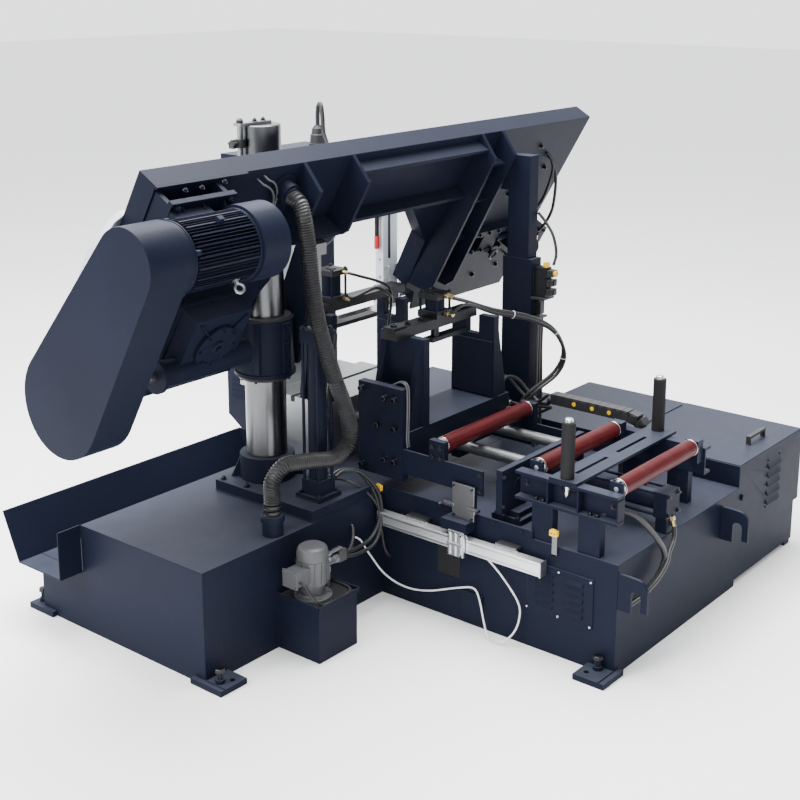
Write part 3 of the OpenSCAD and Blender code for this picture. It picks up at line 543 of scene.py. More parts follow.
class SAW_OT_stage(bpy.types.Operator):
    """Floor, studio light and the camera of the picture"""
    bl_idname, bl_label = "saw.stage", "Stage"

    def execute(self, context):
        look = context.scene.saw_look
        s = Shader("stage_floor", roughness=0.9)
        s.set(base_color=s.mix(s.noise(0.6), (0.93, 0.93, 0.93, 1), (0.96, 0.96, 0.96, 1)))
        MAT["floor"] = s.mat
        floor = Geo().box(-FLOOR_HALF, FLOOR_HALF, -FLOOR_HALF, FLOOR_HALF, -60, 0)
        floor.done("stage_floor", None, "floor")
        world = bpy.data.worlds.new("studio")
        context.scene.world = world
        world.use_nodes = True
        sky = Net(world.node_tree)
        dot = sky.node("VectorMath", {"operation": "DOT_PRODUCT"},
                       {0: sky.node("TexCoord", out="Generated"), 1: DARK_SIDE}, "Value")
        background = world.node_tree.nodes["Background"]
        sky.join(sky.mix(dot.step(0.25, 0.8), STUDIO_WHITE, STUDIO_DARK), background.inputs["Color"])
        background.inputs["Strength"].default_value = look.world
        for name, at, size, share in LIGHTS:
            light = bpy.data.lights.new(name, "AREA")
            light.size, light.energy = size, look.key * share
            self.add(context, name, light, at, LIT_POINT - Vector(at))
        cam = bpy.data.cameras.new("camera")
        cam.sensor_width, cam.lens, cam.shift_y = CAMERA_SENSOR, CAMERA_LENS, CAMERA_SHIFT
        cam.clip_end = FAR_END
        level = math.cos(CAMERA_PITCH)
        view = Vector((math.cos(CAMERA_YAW) * level, math.sin(CAMERA_YAW) * level, -math.sin(CAMERA_PITCH)))
        context.scene.camera = self.add(context, "camera", cam, CAMERA_AT, view)
        return DONE

    def add(self, context, name, data, at, view):
        """A light or camera that looks along view."""
        obj = bpy.data.objects.new(name, data)
        obj.location = at
        obj.rotation_euler = view.to_track_quat("-Z", "Y").to_euler()
        context.scene.collection.objects.link(obj)
        return obj


class SAW_OT_skins(bpy.types.Operator):
    """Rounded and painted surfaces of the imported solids"""
    bl_idname, bl_label = "saw.skins", "Skins"

    def execute(self, context):
        edge = context.scene.saw_look.edge
        for node in ("cross_base", "front_base", "pump_tank", "chip_tray", "coolant_cabinet",
                     "column_base", "lift_cylinder", "roller_frame", "feed_cylinder",
                     "bow_frame", "bow_ribs", "column_sleeve", "post_slide", "gearbox", "motor",
                     "belt_guard", "feed_carriage", "feed_jaw", "main_jaw"):
            dress(node, "navy", edge)
        dress("main_vise", "navy", edge, "dark", is_press)
        dress("feed_vise", "navy", edge, "dark", is_press)
        dress("guide_post", "navy", edge, "dark", is_valve)
        dress("feed_bed", "navy", edge, "steel", is_bar)
        dress("cabinet_lid", "navy", edge, "black", is_handle)
        dress("lock_lever", "dark", edge * 0.5, "grip", is_grip)
        dress("limit_stop", "steel", edge * 0.5, "black", is_collar)
        dress("fixed_guide", "light", edge, "steel", is_rail)
        for node in ("control_cabinet", "cabinet_door"):
            dress(node, "cabinet", edge)
        dress("scale_bar", "scale", edge * 0.5, "iron", is_bracket)
        for node, mat in {"left_door": "light", "right_door": "light", "guide_arm": "light",
                          "coolant_pump": "pump", "foot_pads": "navy", "work_bed": "steel",
                          "outfeed_table": "steel", "tension_unit": "navy", "idler_block": "navy",
                          "pump_lever": "zinc", "star_knob": "black", "stop_button": "grip"}.items():
            dress(node, mat, edge * 0.5)
        for node in ("rear_roller", "front_roller", "carriage_roller"):
            dress(node, "red", 0, "zinc", is_shaft)
        for node, mat in {"main_column": "chrome", "lift_rod": "chrome", "band": "band",
                          "drive_wheel": "iron", "idler_wheel": "iron", "motor_pulley": "iron",
                          "worm_pulley": "iron", "feed_clamp": "dark", "main_clamp": "dark",
                          "left_upright_roller": "rubber", "right_upright_roller": "rubber"}.items():
            keep(node, mat)
        return DONE


class SAW_OT_base_fittings(bpy.types.Operator):
    """Weld beads, screws, hooks, covers and levelling nuts of the welded base"""
    bl_idname, bl_label = "saw.base_fittings", "Base fittings"

    def execute(self, context):
        g = Geo()
        for p in ([(1073, 1197, 4), (1073, 1197, 474)],
                  [(408, 1197, 238), (408, 1197, 4)], [(640, 1197, 238), (640, 1197, 4)],
                  [(629, 1204, 478), (1010, 1204, 478), (1010, 1790, 478), (629, 1790, 478),
                   (629, 1204, 478)],
                  [(710, 1240, 528), (850, 1240, 528), (850, 1376, 528), (710, 1376, 528),
                   (710, 1240, 528)],
                  [(0, 1940, 268), (0, 2225, 268)], [(3, 1941, 268), (1280, 1941, 268)],
                  [(-1, 1090, 26), (-1, 1197, 26)], [(1072, 2, 26), (956, 2, 26)],
                  [(2000, 1040, 479), (2124, 1040, 479), (2124, 1290, 479), (2000, 1290, 479)]):
            g.weld(p, 4)
        g.done("base_welds", "base", "navy")
        g = Geo()
        g.caps([(1067, y, z) for y in (114, 264, 414) for z in (182, 375)], -X, 4.5)
        g.done("panel_screws", "base", "zinc")
        g = Geo()
        for x in (1074, 1950):
            g.run_x(x, x + 16, [(0, 444), (0, 292), (-58, 292), *arc(-80, 366, 22, 180, -22.5, 9),
                                (-102, 308), (-130, 308), (-130, 392), *arc(-80, 392, 50, 15, 15, 6),
                                (-40, 444)])
        g.done("hook_plates", "base", "navy", 0.002, ["lifting_hooks"])
        g = Geo()
        g.caps([(1073, y, 496) for y in range(450, 1160, 140)], -X, 5)
        g.caps([(x, 3, z) for x in (2425, 2545) for z in (290, 520)], -Y, 4)
        for x, y in ((26, 1143.5), (26, 2262.5), (1047, 60), (2723, 2262.5)):
            g.lathe((x, y, 41), Z, [(0, 13), (30, 13), (30, 21), (43, 21), (46, 17)], 6)
        g.bolts([(x, y, 527) for x in (655, 984) for y in (1450, 1620, 1765)], Z, 11)
        g.bolts([(x, y, 545) for x in (722, 838) for y in (1254, 1362)], Z, 9)
        g.bolts([(2014, y, 497) for y in (1060, 1160, 1270)], Z, 8)
        g.done("base_screws", "base", "dark")
        g = Geo()
        g.box(1064, 1072, 640, 750, 30, 150).box(2121, 2127, 12, 20, 20, 470)
        g.box(2735, 2749.5, 200, 1000, 60, 200)
        for x0, x1, y0, y1 in ((400, 404, 962, 1197), (644, 648, 962, 1197), (400, 648, 962, 966)):
            g.box(x0, x1, y0, y1, 236, 252)
        g.done("base_covers", "base", "navy", 0.001)
        # Black sheets of painted shade: one just inside the base's front face, one inside the pump tank's
        # rim.
        g = Geo()
        g.box(1073.4, 1075, 764.4, 883.6, 193.4, 333.6).box(404, 644, 966, 1197, 236, 238)
        g.done("painted_shade_recesses", "base", "rubber")
        return DONE


class SAW_OT_sensors(bpy.types.Operator):
    """Yellow limit sensors on brackets and their cable"""
    bl_idname, bl_label = "saw.sensors", "Sensors"

    def execute(self, context):
        g = Geo()
        for y, z in ((1204, 492), (288, 528)):
            g.box(1048, 1066, y - 18, y + 18, z, z + 24)
            g.box(1052, 1062, y - 10, y + 10, z + 24, z + 29)
        g.done("limit_sensors", "base", "yellow", 0.002)
        g = Geo()
        g.box(1066, 1073, 1190, 1206, 478, 512).box(1062, 1066, 276, 300, 440, 552)
        g.box(1062, 1073, 276, 300, 440, 446)
        g.caps([(1048, y, z) for y, z in ((1196, 504), (1212, 504), (280, 540), (296, 540))], -X, 3)
        g.done("sensor_brackets", "base", "iron", 0.0008)
        path = through(SENSOR)
        cable = Geo().tube(SENSOR, 4, 8).done("sensor_cable", None, "white")
        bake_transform(cable)
        run(path)
        return DONE


class SAW_OT_drive_fittings(bpy.types.Operator):
    """Motor flanges, fins, fan grille, eye bolt and cables, gearbox cover, ribs and bolts"""
    bl_idname, bl_label = "saw.drive_fittings", "Drive fittings"

    def execute(self, context):
        g = Geo(BOW)
        # motor: flanges, its four tie bosses, the cooling fins and the feet
        for x, r, w in ((-224, 137, 12), (-192, 133, 10), (118, 134, 12)):
            g.lathe(MOTOR + X * x, X, [(0, r - 3), (2, r), (w - 2, r), (w, r - 3)], 48)
        for c in around(MOTOR - X * 186, 128, 4, EIGHTH, "x"):
            g.rod(c, c + X * 22, 11, 12)
        for d in around(ZERO, 1, 60, axis="x"):
            w = Vector((0, -d.z, d.y)) * 1.4
            root, tip = MOTOR + d * 108, MOTOR + d * 131
            g.prism([root - w, tip - w * 0.7, tip + w * 0.7, root + w], X * -178, X * 122)
        g.box(-112, 200, -99, -95, -22, -10).box(-112, 200, -99, -95, -262, -250)
        for x in (-60, 40, 140):
            g.run_x(x, x + 8, [(-95, -30), (-140, -60), (-140, -70), (-95, -70)])
        # gearbox: split flange, ribs, the raised rim of the round cover and the worm's end cap
        g.box(130, 450, -112, -96, -870, -530)
        for x, s in ((170, 560), (410, 560), (410, 840)):
            g.prism([(x - 6, -200, -s), (x + 6, -200, -s), (296, -200, -690), (284, -200, -690)],
                    ZERO, Y * -9)
        g.lathe((290, -214, -690), -Y,
                [(0, 100), (5, 98), (6, 80), (2, 78), (2, 34), (12, 30), (14, 24)], 48)
        g.lathe((519, -178, -807), X, [(0, 56), (8, 56), (11, 50), (11, 24), (16, 22)], 32)
        g.weld([(-225, -380, -110), (-225, -378, -200)], 2)
        g.done("drive_castings", "bow", "navy", 0.0015)
        g = Geo(BOW).caps(around((290, -220, -690), 88, 8, axis="y"), -Y, 6)
        g.bolts([(x, -113, -s) for x in (142, 290, 438) for s in (542, 858)], -Y, 7)
        g.bolts([(x, -113, -s) for x in (142, 438) for s in (650, 760)], -Y, 7)
        g.bolts([(x, -99, -s) for x in (-85, 170) for s in (30, 242)], -Y, 11)
        g.bolts([(-20, -50, 1), (60, -50, 1), (180, -40, 1)], Z, 7)
        g.caps(around((531, -178, -807), 42, 4, EIGHTH, "x"), X, 6)
        g.lathe((290, -228, -690), -Y, [(0, 14), (10, 14)], 6)
        g.done("drive_bolts", "bow", "navy")
        g = Geo(BOW)
        d, c = Vector((0, -0.89, -0.46)), MOTOR + X * 50
        g.rod(c + d * 128, c + d * 146, 9).lathe(c + d * 126, d, [(0, 17), (5, 17)], 20)
        g.torus(c + d * 162, X.cross(d) + X * 0.4, 17, 5.5)
        g.done("motor_eye", "bow", "steel")
        g = Geo(BOW)
        c = MOTOR + X * 263
        for r in (28, 50, 72, 94, 116):
            g.torus(c, X, r, 3, 40, 6)
        for inner, outer in zip(around(c, 18, 12, axis="x"), around(c, 134, 12, axis="x")):
            g.rod(inner, outer, 2.5, 6)
        g.lathe(MOTOR + X * 258, X, [(0, 22), (7, 22), (8, 18)], 24)
        g.done("fan_grille", "bow", "black")
        g = Geo(BOW)
        g.tube([(398, -4, -40), (402, -34, -44), (452, -40, -70), (500, -34, -122), (520, -30, -200),
                (500, -12, -262), (470, -2, -290)], 4)
        g.tube([(430, -4, -30), (436, -30, -34), (480, -30, -58), (524, -26, -118), (540, -22, -196),
                (520, -10, -270), (500, -2, -300)], 4)
        g.tube([(440, -120, -600), (470, -124, -640), (484, -126, -720), (474, -124, -790),
                (450, -122, -830), (441, -118, -850)], 4)
        g.tube([(950, -2, -330), (975, -40, -350), (985, -50, -400), (960, -40, -450), (930, -20, -470),
                (900, -4, -440)], 5)
        g.done("motor_cables", "bow", "grey")
        return DONE


class SAW_OT_column_fittings(bpy.types.Operator):
    """Wipers, clamp strip and bolts of the sleeve, the stop's and the lift cylinder's nuts and hoses"""
    bl_idname, bl_label = "saw.column_fittings", "Column fittings"

    def execute(self, context):
        g = Geo()
        g.lathe((818, 1651, 992), Z, [(0, 92.5), (0, 118), (16, 122), (16, 92.5)], 48)
        g.lathe((818, 1651, 1261), Z, [(0, 92.5), (0, 124), (10, 118), (10, 92.5)], 48)
        g.done("column_wiper", "bow", "black", 0.001)
        g = Geo()
        g.box(796, 840, 1512, 1526, 1030, 1250).box(700, 716, 1570, 1600, 1030, 1250)
        g.weld([(690, 1651, 1258), (704, 1590, 1258), (745, 1545, 1258), (800, 1524, 1258)], 4)
        g.done("sleeve_strip", "bow", "navy", 0.0015)
        g = Geo()
        g.bolts([(818, 1512, z) for z in (1050, 1110, 1170, 1230)], -Y, 8)
        g.caps(around((818, 1651, 992), 110, 8, EIGHTH / 2), -Z, 6)
        g.done("sleeve_bolts", "bow", "navy")
        g = Geo()
        g.bolts([(x, 1651, 2107) for x in (790, 840)], Z, 9)
        g.lathe((704, 1651, 2107), Z, [(0, 15), (9, 15), (12, 13), (17, 8), (19, 3)], 12)
        for x, y in corners(780, 1308, 41):
            g.lathe((x, y, 1270), Z, [(0, 11), (7, 11), (8, 7), (12, 7)], 6)
        g.done("column_nuts", "base", "dark")
        g = Geo()
        g.lathe((780, 1308, 1270), Z, [(0, 26.5), (0, 36), (8, 36), (10, 26.5)], 32)
        for z in (590, 1240):
            g.union([(x, 1308, z) for x in (830, 856, 870)], 11, 8)
        g.box(812, 826, 1256, 1262, 1060, 1180).rod((819, 1256, 1050), (819, 1256, 1200), 4)
        g.done("lift_fittings", "base", "zinc")
        g = Geo()
        for off in (0, 20):
            g.tube([(868, 1308 - off, 590), (920, 1300 - off, 604), (985, 1262 - off, 585),
                    (1022 + off * 0.4, 1205 - off, 500), (1010 + off * 0.4, 1160 - off * 0.3, 400),
                    (935, 1140 - off, 330 - off), (820, 1130 - off * 0.6, 318 - off),
                    (722, 1110, 342 - off)], 8)
        g.tube([(868, 1308, 1240), (892, 1308, 1236), (902, 1310, 1190), (880, 1330, 1000),
                (868, 1345, 760), (872, 1350, 600), (880, 1360, 532)], 8)
        g.tube([(860, 1400, 529), (905, 1330, 560), (940, 1250, 548), (985, 1205, 500), (1020, 1180, 430),
                (1030, 1168, 330), (1042, 1160, 240), (1058, 1150, 200), (1071, 1150, 190)], 6)
        g.done("lift_hoses", "base", "cable")
        return DONE


class SAW_OT_suction_hose(bpy.types.Operator):
    """Ribbed return hose with its clamps and sockets"""
    bl_idname, bl_label = "saw.suction_hose", "Return hose"

    def execute(self, context):
        g = Geo().ribbed(SUCTION, 34.5, 20, pitch=11, depth=4.5)
        hose = g.done("suction_hose_ribbed", None, "hose")
        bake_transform(hose)
        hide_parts("suction_hose")
        g = Geo()
        for z in (572, 596):
            g.lathe((444, 1254, z), Z, [(0, 35), (0, 38.5), (12, 38.5), (12, 35)], 32)
            g.box(480, 492, 1246, 1262, z, z + 12).rod((487, 1240, z + 6), (487, 1268, z + 6), 3.5)
        g.done("hose_clamps", "base", "dark", 0.0004)
        Geo().lathe((444, 1254, 536), Z, [(0, 44), (0, 50), (20, 50), (25, 44)], 32).done(
            "socket_collar", "base", "navy", 0.001)
        g = Geo(BOW)
        g.lathe((567, -42, -108), -Y, [(0, 35), (0, 48), (14, 48), (14, 38), (24, 38), (24, 35)], 32)
        g.caps(around((567, -12, -108), 55, 6, axis="y"), -Y, 4.5)
        g.done("hose_flange_ring", "bow", "navy", 0.001)
        return DONE


class SAW_OT_vise_fittings(bpy.types.Operator):
    """Cap screws, welds, jaw plates, press fittings and hoses of both vises"""
    bl_idname, bl_label = "saw.vise_fittings", "Vise fittings"

    def execute(self, context):
        g = Geo()
        g.caps([(1047, y, z) for y, z in ((1105, 650), (1105, 930), (1160, 650), (1160, 930), (1290, 600),
                                          (1290, 950), (1105, 800), (1200, 800))], -X, 13)
        g.bolts([(1065, y, z) for y in (870, 912) for z in (716, 760)], -X, 9)
        g.bolts([(1065, 662, z) for z in (620, 690)], -X, 7)
        g.capscrew((1145, 1190, 1214), Z, 15)
        g.bolts([(x, 1190, 1214) for x in (1240, 1330)], Z, 11)
        g.done("carriage_screws", "carriage", "dark")
        g = Geo()
        for y in (1075, 1270, 1105, 1300):
            g.weld([(1199, y, 1158), (1199, y, 779)], 3)
        g.weld([(1240, 1066, 781), (1240, 1309, 781)], 3)
        g.done("vise_welds", "carriage", "navy")
        feed, main = (1072, 1303, 790), (1612, 1768, 792)
        for body, (y0, y1, z0), name in (("carriage", feed, "fixed"), ("feed_jaw", feed, "moving"),
                                         ("base", main, "fixed"), ("main_jaw", main, "moving")):
            back, front, out = (1240, 1248, X) if name == "fixed" else (1720, 1712, -X)
            g = Geo()
            g.box(min(back, front), max(back, front), y0, y1, z0, 1050)
            g.caps([(front, y, z) for y in (y0 + 30, y1 - 30) for z in (z0 + 40, 1010)], out, 4)
            g.done(f"jaw_plate_{name}_{body}", body, "navy", 0.001)
        for body, cx, cy, top, low in (("carriage", 1435, 1190, 1324, 1214),
                                       ("base", 1300, 1692, 1383, 1230)):
            g = Geo()
            for x, y in corners(cx, cy, 46):
                g.lathe((x, y, top), Z, [(0, 9), (6, 9), (7, 6), (9, 6)], 6)
            g.lathe((cx, cy, top), Z, [(0, 24), (4, 24), (5, 20)], 24)
            g.done("press_nuts_" + body, body, "dark")
            g = Geo()
            for z in (top - 13, low + 14):
                a, b, c = [(cx + 20, cy - d, z) for d in (55, 78, 92)]
                g.rod(a, b, 10, 6).rod(b, c, 7, 12)
            g.done("press_unions_" + body, body, "gold")
        g = Geo()
        for dz in (0, 34):
            g.tube([(1320, 1602, 1370 - dz * 3.3), (1322, 1580, 1368 - dz * 3.3),
                    (1370, 1571, 1350 - dz * 2.5), (1480, 1569, 1310 - dz), (1570, 1572, 1262 - dz),
                    (1598, 1580, 1180), (1590, 1600, 1000), (1596, 1596, 800), (1600, 1588, 700)], 7)
        g.done("main_press_hoses", "base", "cable")
        g = Geo()
        g.box(1030, 1100, 1640, 1745, 1230, 1244).box(1040, 1090, 1640, 1745, 1160, 1190)
        g.box(1108, 1196, 1160, 1220, 1214, 1224)
        g.done("bar_ends", "base", "dark", 0.001)
        return DONE


class SAW_OT_pressure_hoses(bpy.types.Operator):
    """Pair of hydraulic hoses from the feed press to the block on the carriage"""
    bl_idname, bl_label = "saw.pressure_hoses", "Pressure hoses"

    def execute(self, context):
        g = Geo().tube(PRESSURE, 8.5)
        g.tube([(x, y, z - 80) for x, y, z in PRESSURE[:2]]
               + [(x, y - 8, z - 15.5) for x, y, z in PRESSURE[2:7]]
               + [(1955, 864, 884), (1862, 922, 806), (1836, 996, 706), (1834, 1040, 676),
                  (1834, 1064.7, 676)], 8.5)
        hoses = g.done("pressure_hose_pair", "carriage", "cable")
        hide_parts("pressure_hose")
        g = Geo()
        for z in (1311, 1231):
            g.union([(1435, y, z) for y in (1134, 1112, 1088)], 11, 9.02)
        for z in (700, 676):
            g.union([(1834, y, z) for y in (1064, 1046, 1024)], 12, 9.5)
        g.done("hose_unions", "carriage", "gold")
        g = Geo()
        path = through(PRESSURE)
        for k in (24, 44, 55):
            g.torus(path[k] + Vector((0, -4, -7.8)), path[k + 1] - path[k - 1], 17.8, 1.3, 20, 6)
        g.done("hose_ties", "carriage", "white")
        g = Geo()
        g.box(1850, 1888, 1090, 1190, 664, 742).box(1838, 1850, 1080, 1200, 660, 746)
        for y in (1110, 1168):
            g.rod((1860, y, 742), (1860, y, 764), 12, 6)
        for z in (690, 722):
            g.rod((1869, 1090, z), (1869, 1066, z), 12, 6)
        g.done("carriage_manifold", "carriage", "zinc", 0.001)
        g = Geo()
        for k, y in enumerate((1110, 1168)):
            g.tube([(1860, y, 764), (1860, y, 804), (1885, y - 10, 838 - k * 16), (1925, y - 40, 824),
                    (1950, y - 90, 764), (1950, y - 150, 724), (1925, y - 220, 736),
                    (1905, 880, 764 + 22 * k)], 8)
        for z in (690, 722):
            g.tube([(1869, 1066, z), (1869, 1035, z), (1880, 990, z - 10), (1896, 930, z),
                    (1903, 860, 730)], 7)
        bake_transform(g.done("manifold_hoses", None, "cable"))
        return DONE


class SAW_OT_feed_line(bpy.types.Operator):
    """Roller caps, channel bolts, stiffeners, drag chain, the carriage's cables and the drain hose"""
    bl_idname, bl_label = "saw.feed_line", "Feed line"

    def execute(self, context):
        for body, y, x0, x1 in (("rear_roller", 58, 1150, 1745), ("front_roller", 430, 1150, 1745),
                                ("carriage_roller", 890, 1100, 1740)):
            g = Geo()
            for x, d in ((x0, -X), (x1, X)):
                g.lathe((x, y, 761), d, [(-2, 33), (2, 33), (4, 29), (4, 16), (9, 15)], 32)
                g.torus((x - d.x * 6, y, 761), X, 35.4, 1.6, 40, 6)
            g.done(body + "_caps", body, "zinc")
        g, top = Geo(), Geo()
        for x, y in ((1115, 270), (1855, 275)):
            top.lathe((x, y, 996.5), Z, [(0, 19), (5, 19), (5, 17.6), (13, 17.6), (15, 14)], 6)
            top.lathe((x, y, 762), Z, [(0, 21), (6, 20)], 24)
            top.lathe((x, y, 736), Z, [(0, 17), (12, 17)], 6).rod((x, y, 690), (x, y, 752), 9.5)
            top.lathe((x, y, 682), Z, [(0, 6), (8, 9)], 12)
        g.bolts([(1100, y, 642) for y in (118, 150, 372, 404)], Z, 8)
        g.bolts([(1832, y, 642) for y in (118, 150, 372, 404)], Z, 8)
        g.bolts([(1123, y, 690) for y in (60, 460)], -X, 8)
        g.caps([(1140, y, 790) for y in (44, 72, 416, 444)], Z, 5)
        g.bolts([(x, y, 502) for x in (1158, 1282) for y in (530, 640)], Z, 8)
        g.bolts([(x, 575, z) for x in (1110, 1720) for z in (560, 690)], -Y, 8)
        g.bolts([(1500 + i, 0, 600 + j) for i in (-40, 40) for j in (-40, 40)], -Y, 8)
        g.done("feed_bolts", "base", "dark")
        top.done("upright_bolts", "base", "zinc")
        g = Geo()
        for y in (196, 340):
            g.box(1083, 1124, y, y + 7, 641, 739).box(1806, 1850, y, y + 7, 641, 739)
        g.box(1081, 1133, 16, 22, 648, 732)
        g.torus((1225, 574, 620), Y, 34, 3, 32, 6)
        g.done("channel_stiffeners", "base", "navy", 0.001)
        # drag chain: a housing per pitch with a narrower joint in it, set along the loop
        g, dots = Geo(), Geo()
        path = through([(1905, y, z) for y, z in CHAIN], 44)
        for i, (a, b) in enumerate(zip(path, path[1:])):
            t = (b - a).normalized()
            up = X.cross(t).normalized()
            mid = (a + b) / 2
            for wide, tall, long in ((27, 25, 0.4992), (28.5, 19, 0.286)):
                g.skin([g.ring([mid + (b - a) * long * k + X * wide * i2 + up * tall * j2
                                for i2, j2 in ((-1, -1), (1, -1), (1, 1), (-1, 1))]) for k in (-1, 1)])
            if 500 < a.y < 790 and a.z > 768 and i % 2 == 1:
                dots.rod((1876.2, (a.y + b.y) / 2, a.z), (1873.5, (a.y + b.y) / 2, a.z), 10, 20)
        g.box(1872, 1938, 345, 500, 664, 680).box(1880, 1930, 360, 480, 477, 666)
        chain = g.done("drag_chain_links", "base", "black", 0.002, slot="chain_plastic")
        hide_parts("drag_chain")
        dots.done("chain_plugs", "base", "yellow", 0.0006)
        g = Geo()
        for off in (0, 13):
            g.tube([(1092 + off, 1150, 979), (1090 + off, 1110, 1000), (1086 + off, 1072, 990),
                    (1084 + off, 1064, 930), (1082 + off, 1063, 850), (1080 + off, 1064, 760),
                    (1080 + off, 1060, 716)], 3.5)
        g.done("carriage_cables", "carriage", "grey")
        g = Geo()
        g.tube([(1130, 110, 640), (1150, 60, 670), (1210, 10, 640), (1320, -26, 520), (1385, -34, 420),
                (1330, -34, 350), (1200, -32, 318), (1112, -12, 318)], 12)
        g.tube([(1500, 2, 548), (1500, -10, 510), (1480, -22, 460), (1420, -36, 425), (1370, -52, 395),
                (1290, -54, 352), (1180, -50, 322), (1112, -28, 300)], 9)
        g.done("drain_hose", "base", "cable")
        g = Geo()
        g.union([(1500, 2, 546), (1500, -2, 528), (1498, -10, 504)], 13, 10.5)
        g.done("drain_union", "base", "gold")
        return DONE


class SAW_OT_scale_fittings(bpy.types.Operator):
    """Grooves and end caps of the length scale and its reading head"""
    bl_idname, bl_label = "saw.scale_fittings", "Scale fittings"

    def execute(self, context):
        g = Geo()
        for y in (316, 1168):
            g.box(1007, 1053, y, y + 6, 353, 418)
        for z in (362, 400):
            g.box(1008.6, 1010.4, 326, 1164, z, z + 8)
        g.done("scale_caps", "base", "zinc", 0.0006)
        g = Geo()
        g.box(992, 1005, 690, 772, 336, 446).box(992, 1060, 690, 772, 437, 448)
        for y0, y1 in ((697, 708), (726, 736), (754, 765)):
            g.box(986, 994, y0, y1, 340, 442)
        g.box(984, 994, 690, 772, 384, 396).box(1000, 1020, 702, 722, 436, 444)
        g.done("reading_head", "carriage", "zinc", 0.002)
        g = Geo()
        g.box(1040, 1050, 672, 786, 486, 640)
        for x0, y0, y1 in ((1030, 640, 700), (1030, 770, 830), (1004, 640, 648), (1004, 822, 830)):
            g.box(x0, 1042, y0, y1, 540, 552)
        g.done("head_plate", "carriage", "iron", 0.002)
        g = Geo()
        g.caps([(1040, y, z) for y in (682, 776) for z in (498, 628)], -X, 5)
        g.caps([(986, y, z) for y in (697, 765) for z in (346, 436)], -X, 4)
        g.done("reading_head_screws", "carriage", "dark")
        return DONE


class SAW_OT_guides(bpy.types.Operator):
    """Guide heads, slot and bolts of the arm, band teeth"""
    bl_idname, bl_label = "saw.guides", "Guides"

    def execute(self, context):
        for body, x0, x1 in (("bow", 1090, 1170), ("guide_arm", 1790, 1900)):
            g = Geo()
            for y in (1779, 1848.2):
                g.box(x0 + 4, x1 - 4, y, y + 9, 1096, 1190)
            g.box(x0 - 4, x0, 1795, 1830, 1110, 1180)
            g.lathe(((x0 + x1) / 2, 1779, 1150), -Y, [(0, 17), (8, 17), (10, 14), (18, 13)], 20)
            g.done("guide_cheeks_" + body, body, "dark", 0.001)
            g = Geo()
            g.caps([(x, 1779, z) for x in (x0 + 16, x1 - 16) for z in (1106, 1180)], -Y, 6)
            g.caps([(x, 1790, z) for x in (x0 + 14, x1 - 14) for z in (1230, 1290, 1640, 1700)], -Y, 6)
            g.bolts([(x0, 1814, z) for z in (1240, 1330, 1640)], -X, 7)
            g.tube([(x0 + 20, 1776, 1300), (x0 + 20, 1768, 1290), (x0 + 20, 1766, 1200),
                    (x0 + 24, 1772, 1130), (x0 + 26, 1790, 1112)], 5, 8)
            g.done("guide_screws_" + body, body, "zinc")
        g = Geo()
        g.box(1828, 1844, 1788.6, 1790.5, 1330, 1600)
        g.done("arm_slot", "guide_arm", "dark")
        g = Geo()
        y, z, pitch = 1808, 1066, 8
        for x in range(1170, 1786, pitch):
            g.prism([(x, y - 0.6, z), (x + pitch * 0.85, y - 0.6, z), (x + pitch * 0.2, y - 0.6, z - 4)],
                    ZERO, Y * 1.2)
        g.done("band_teeth", "bow", "band")
        return DONE


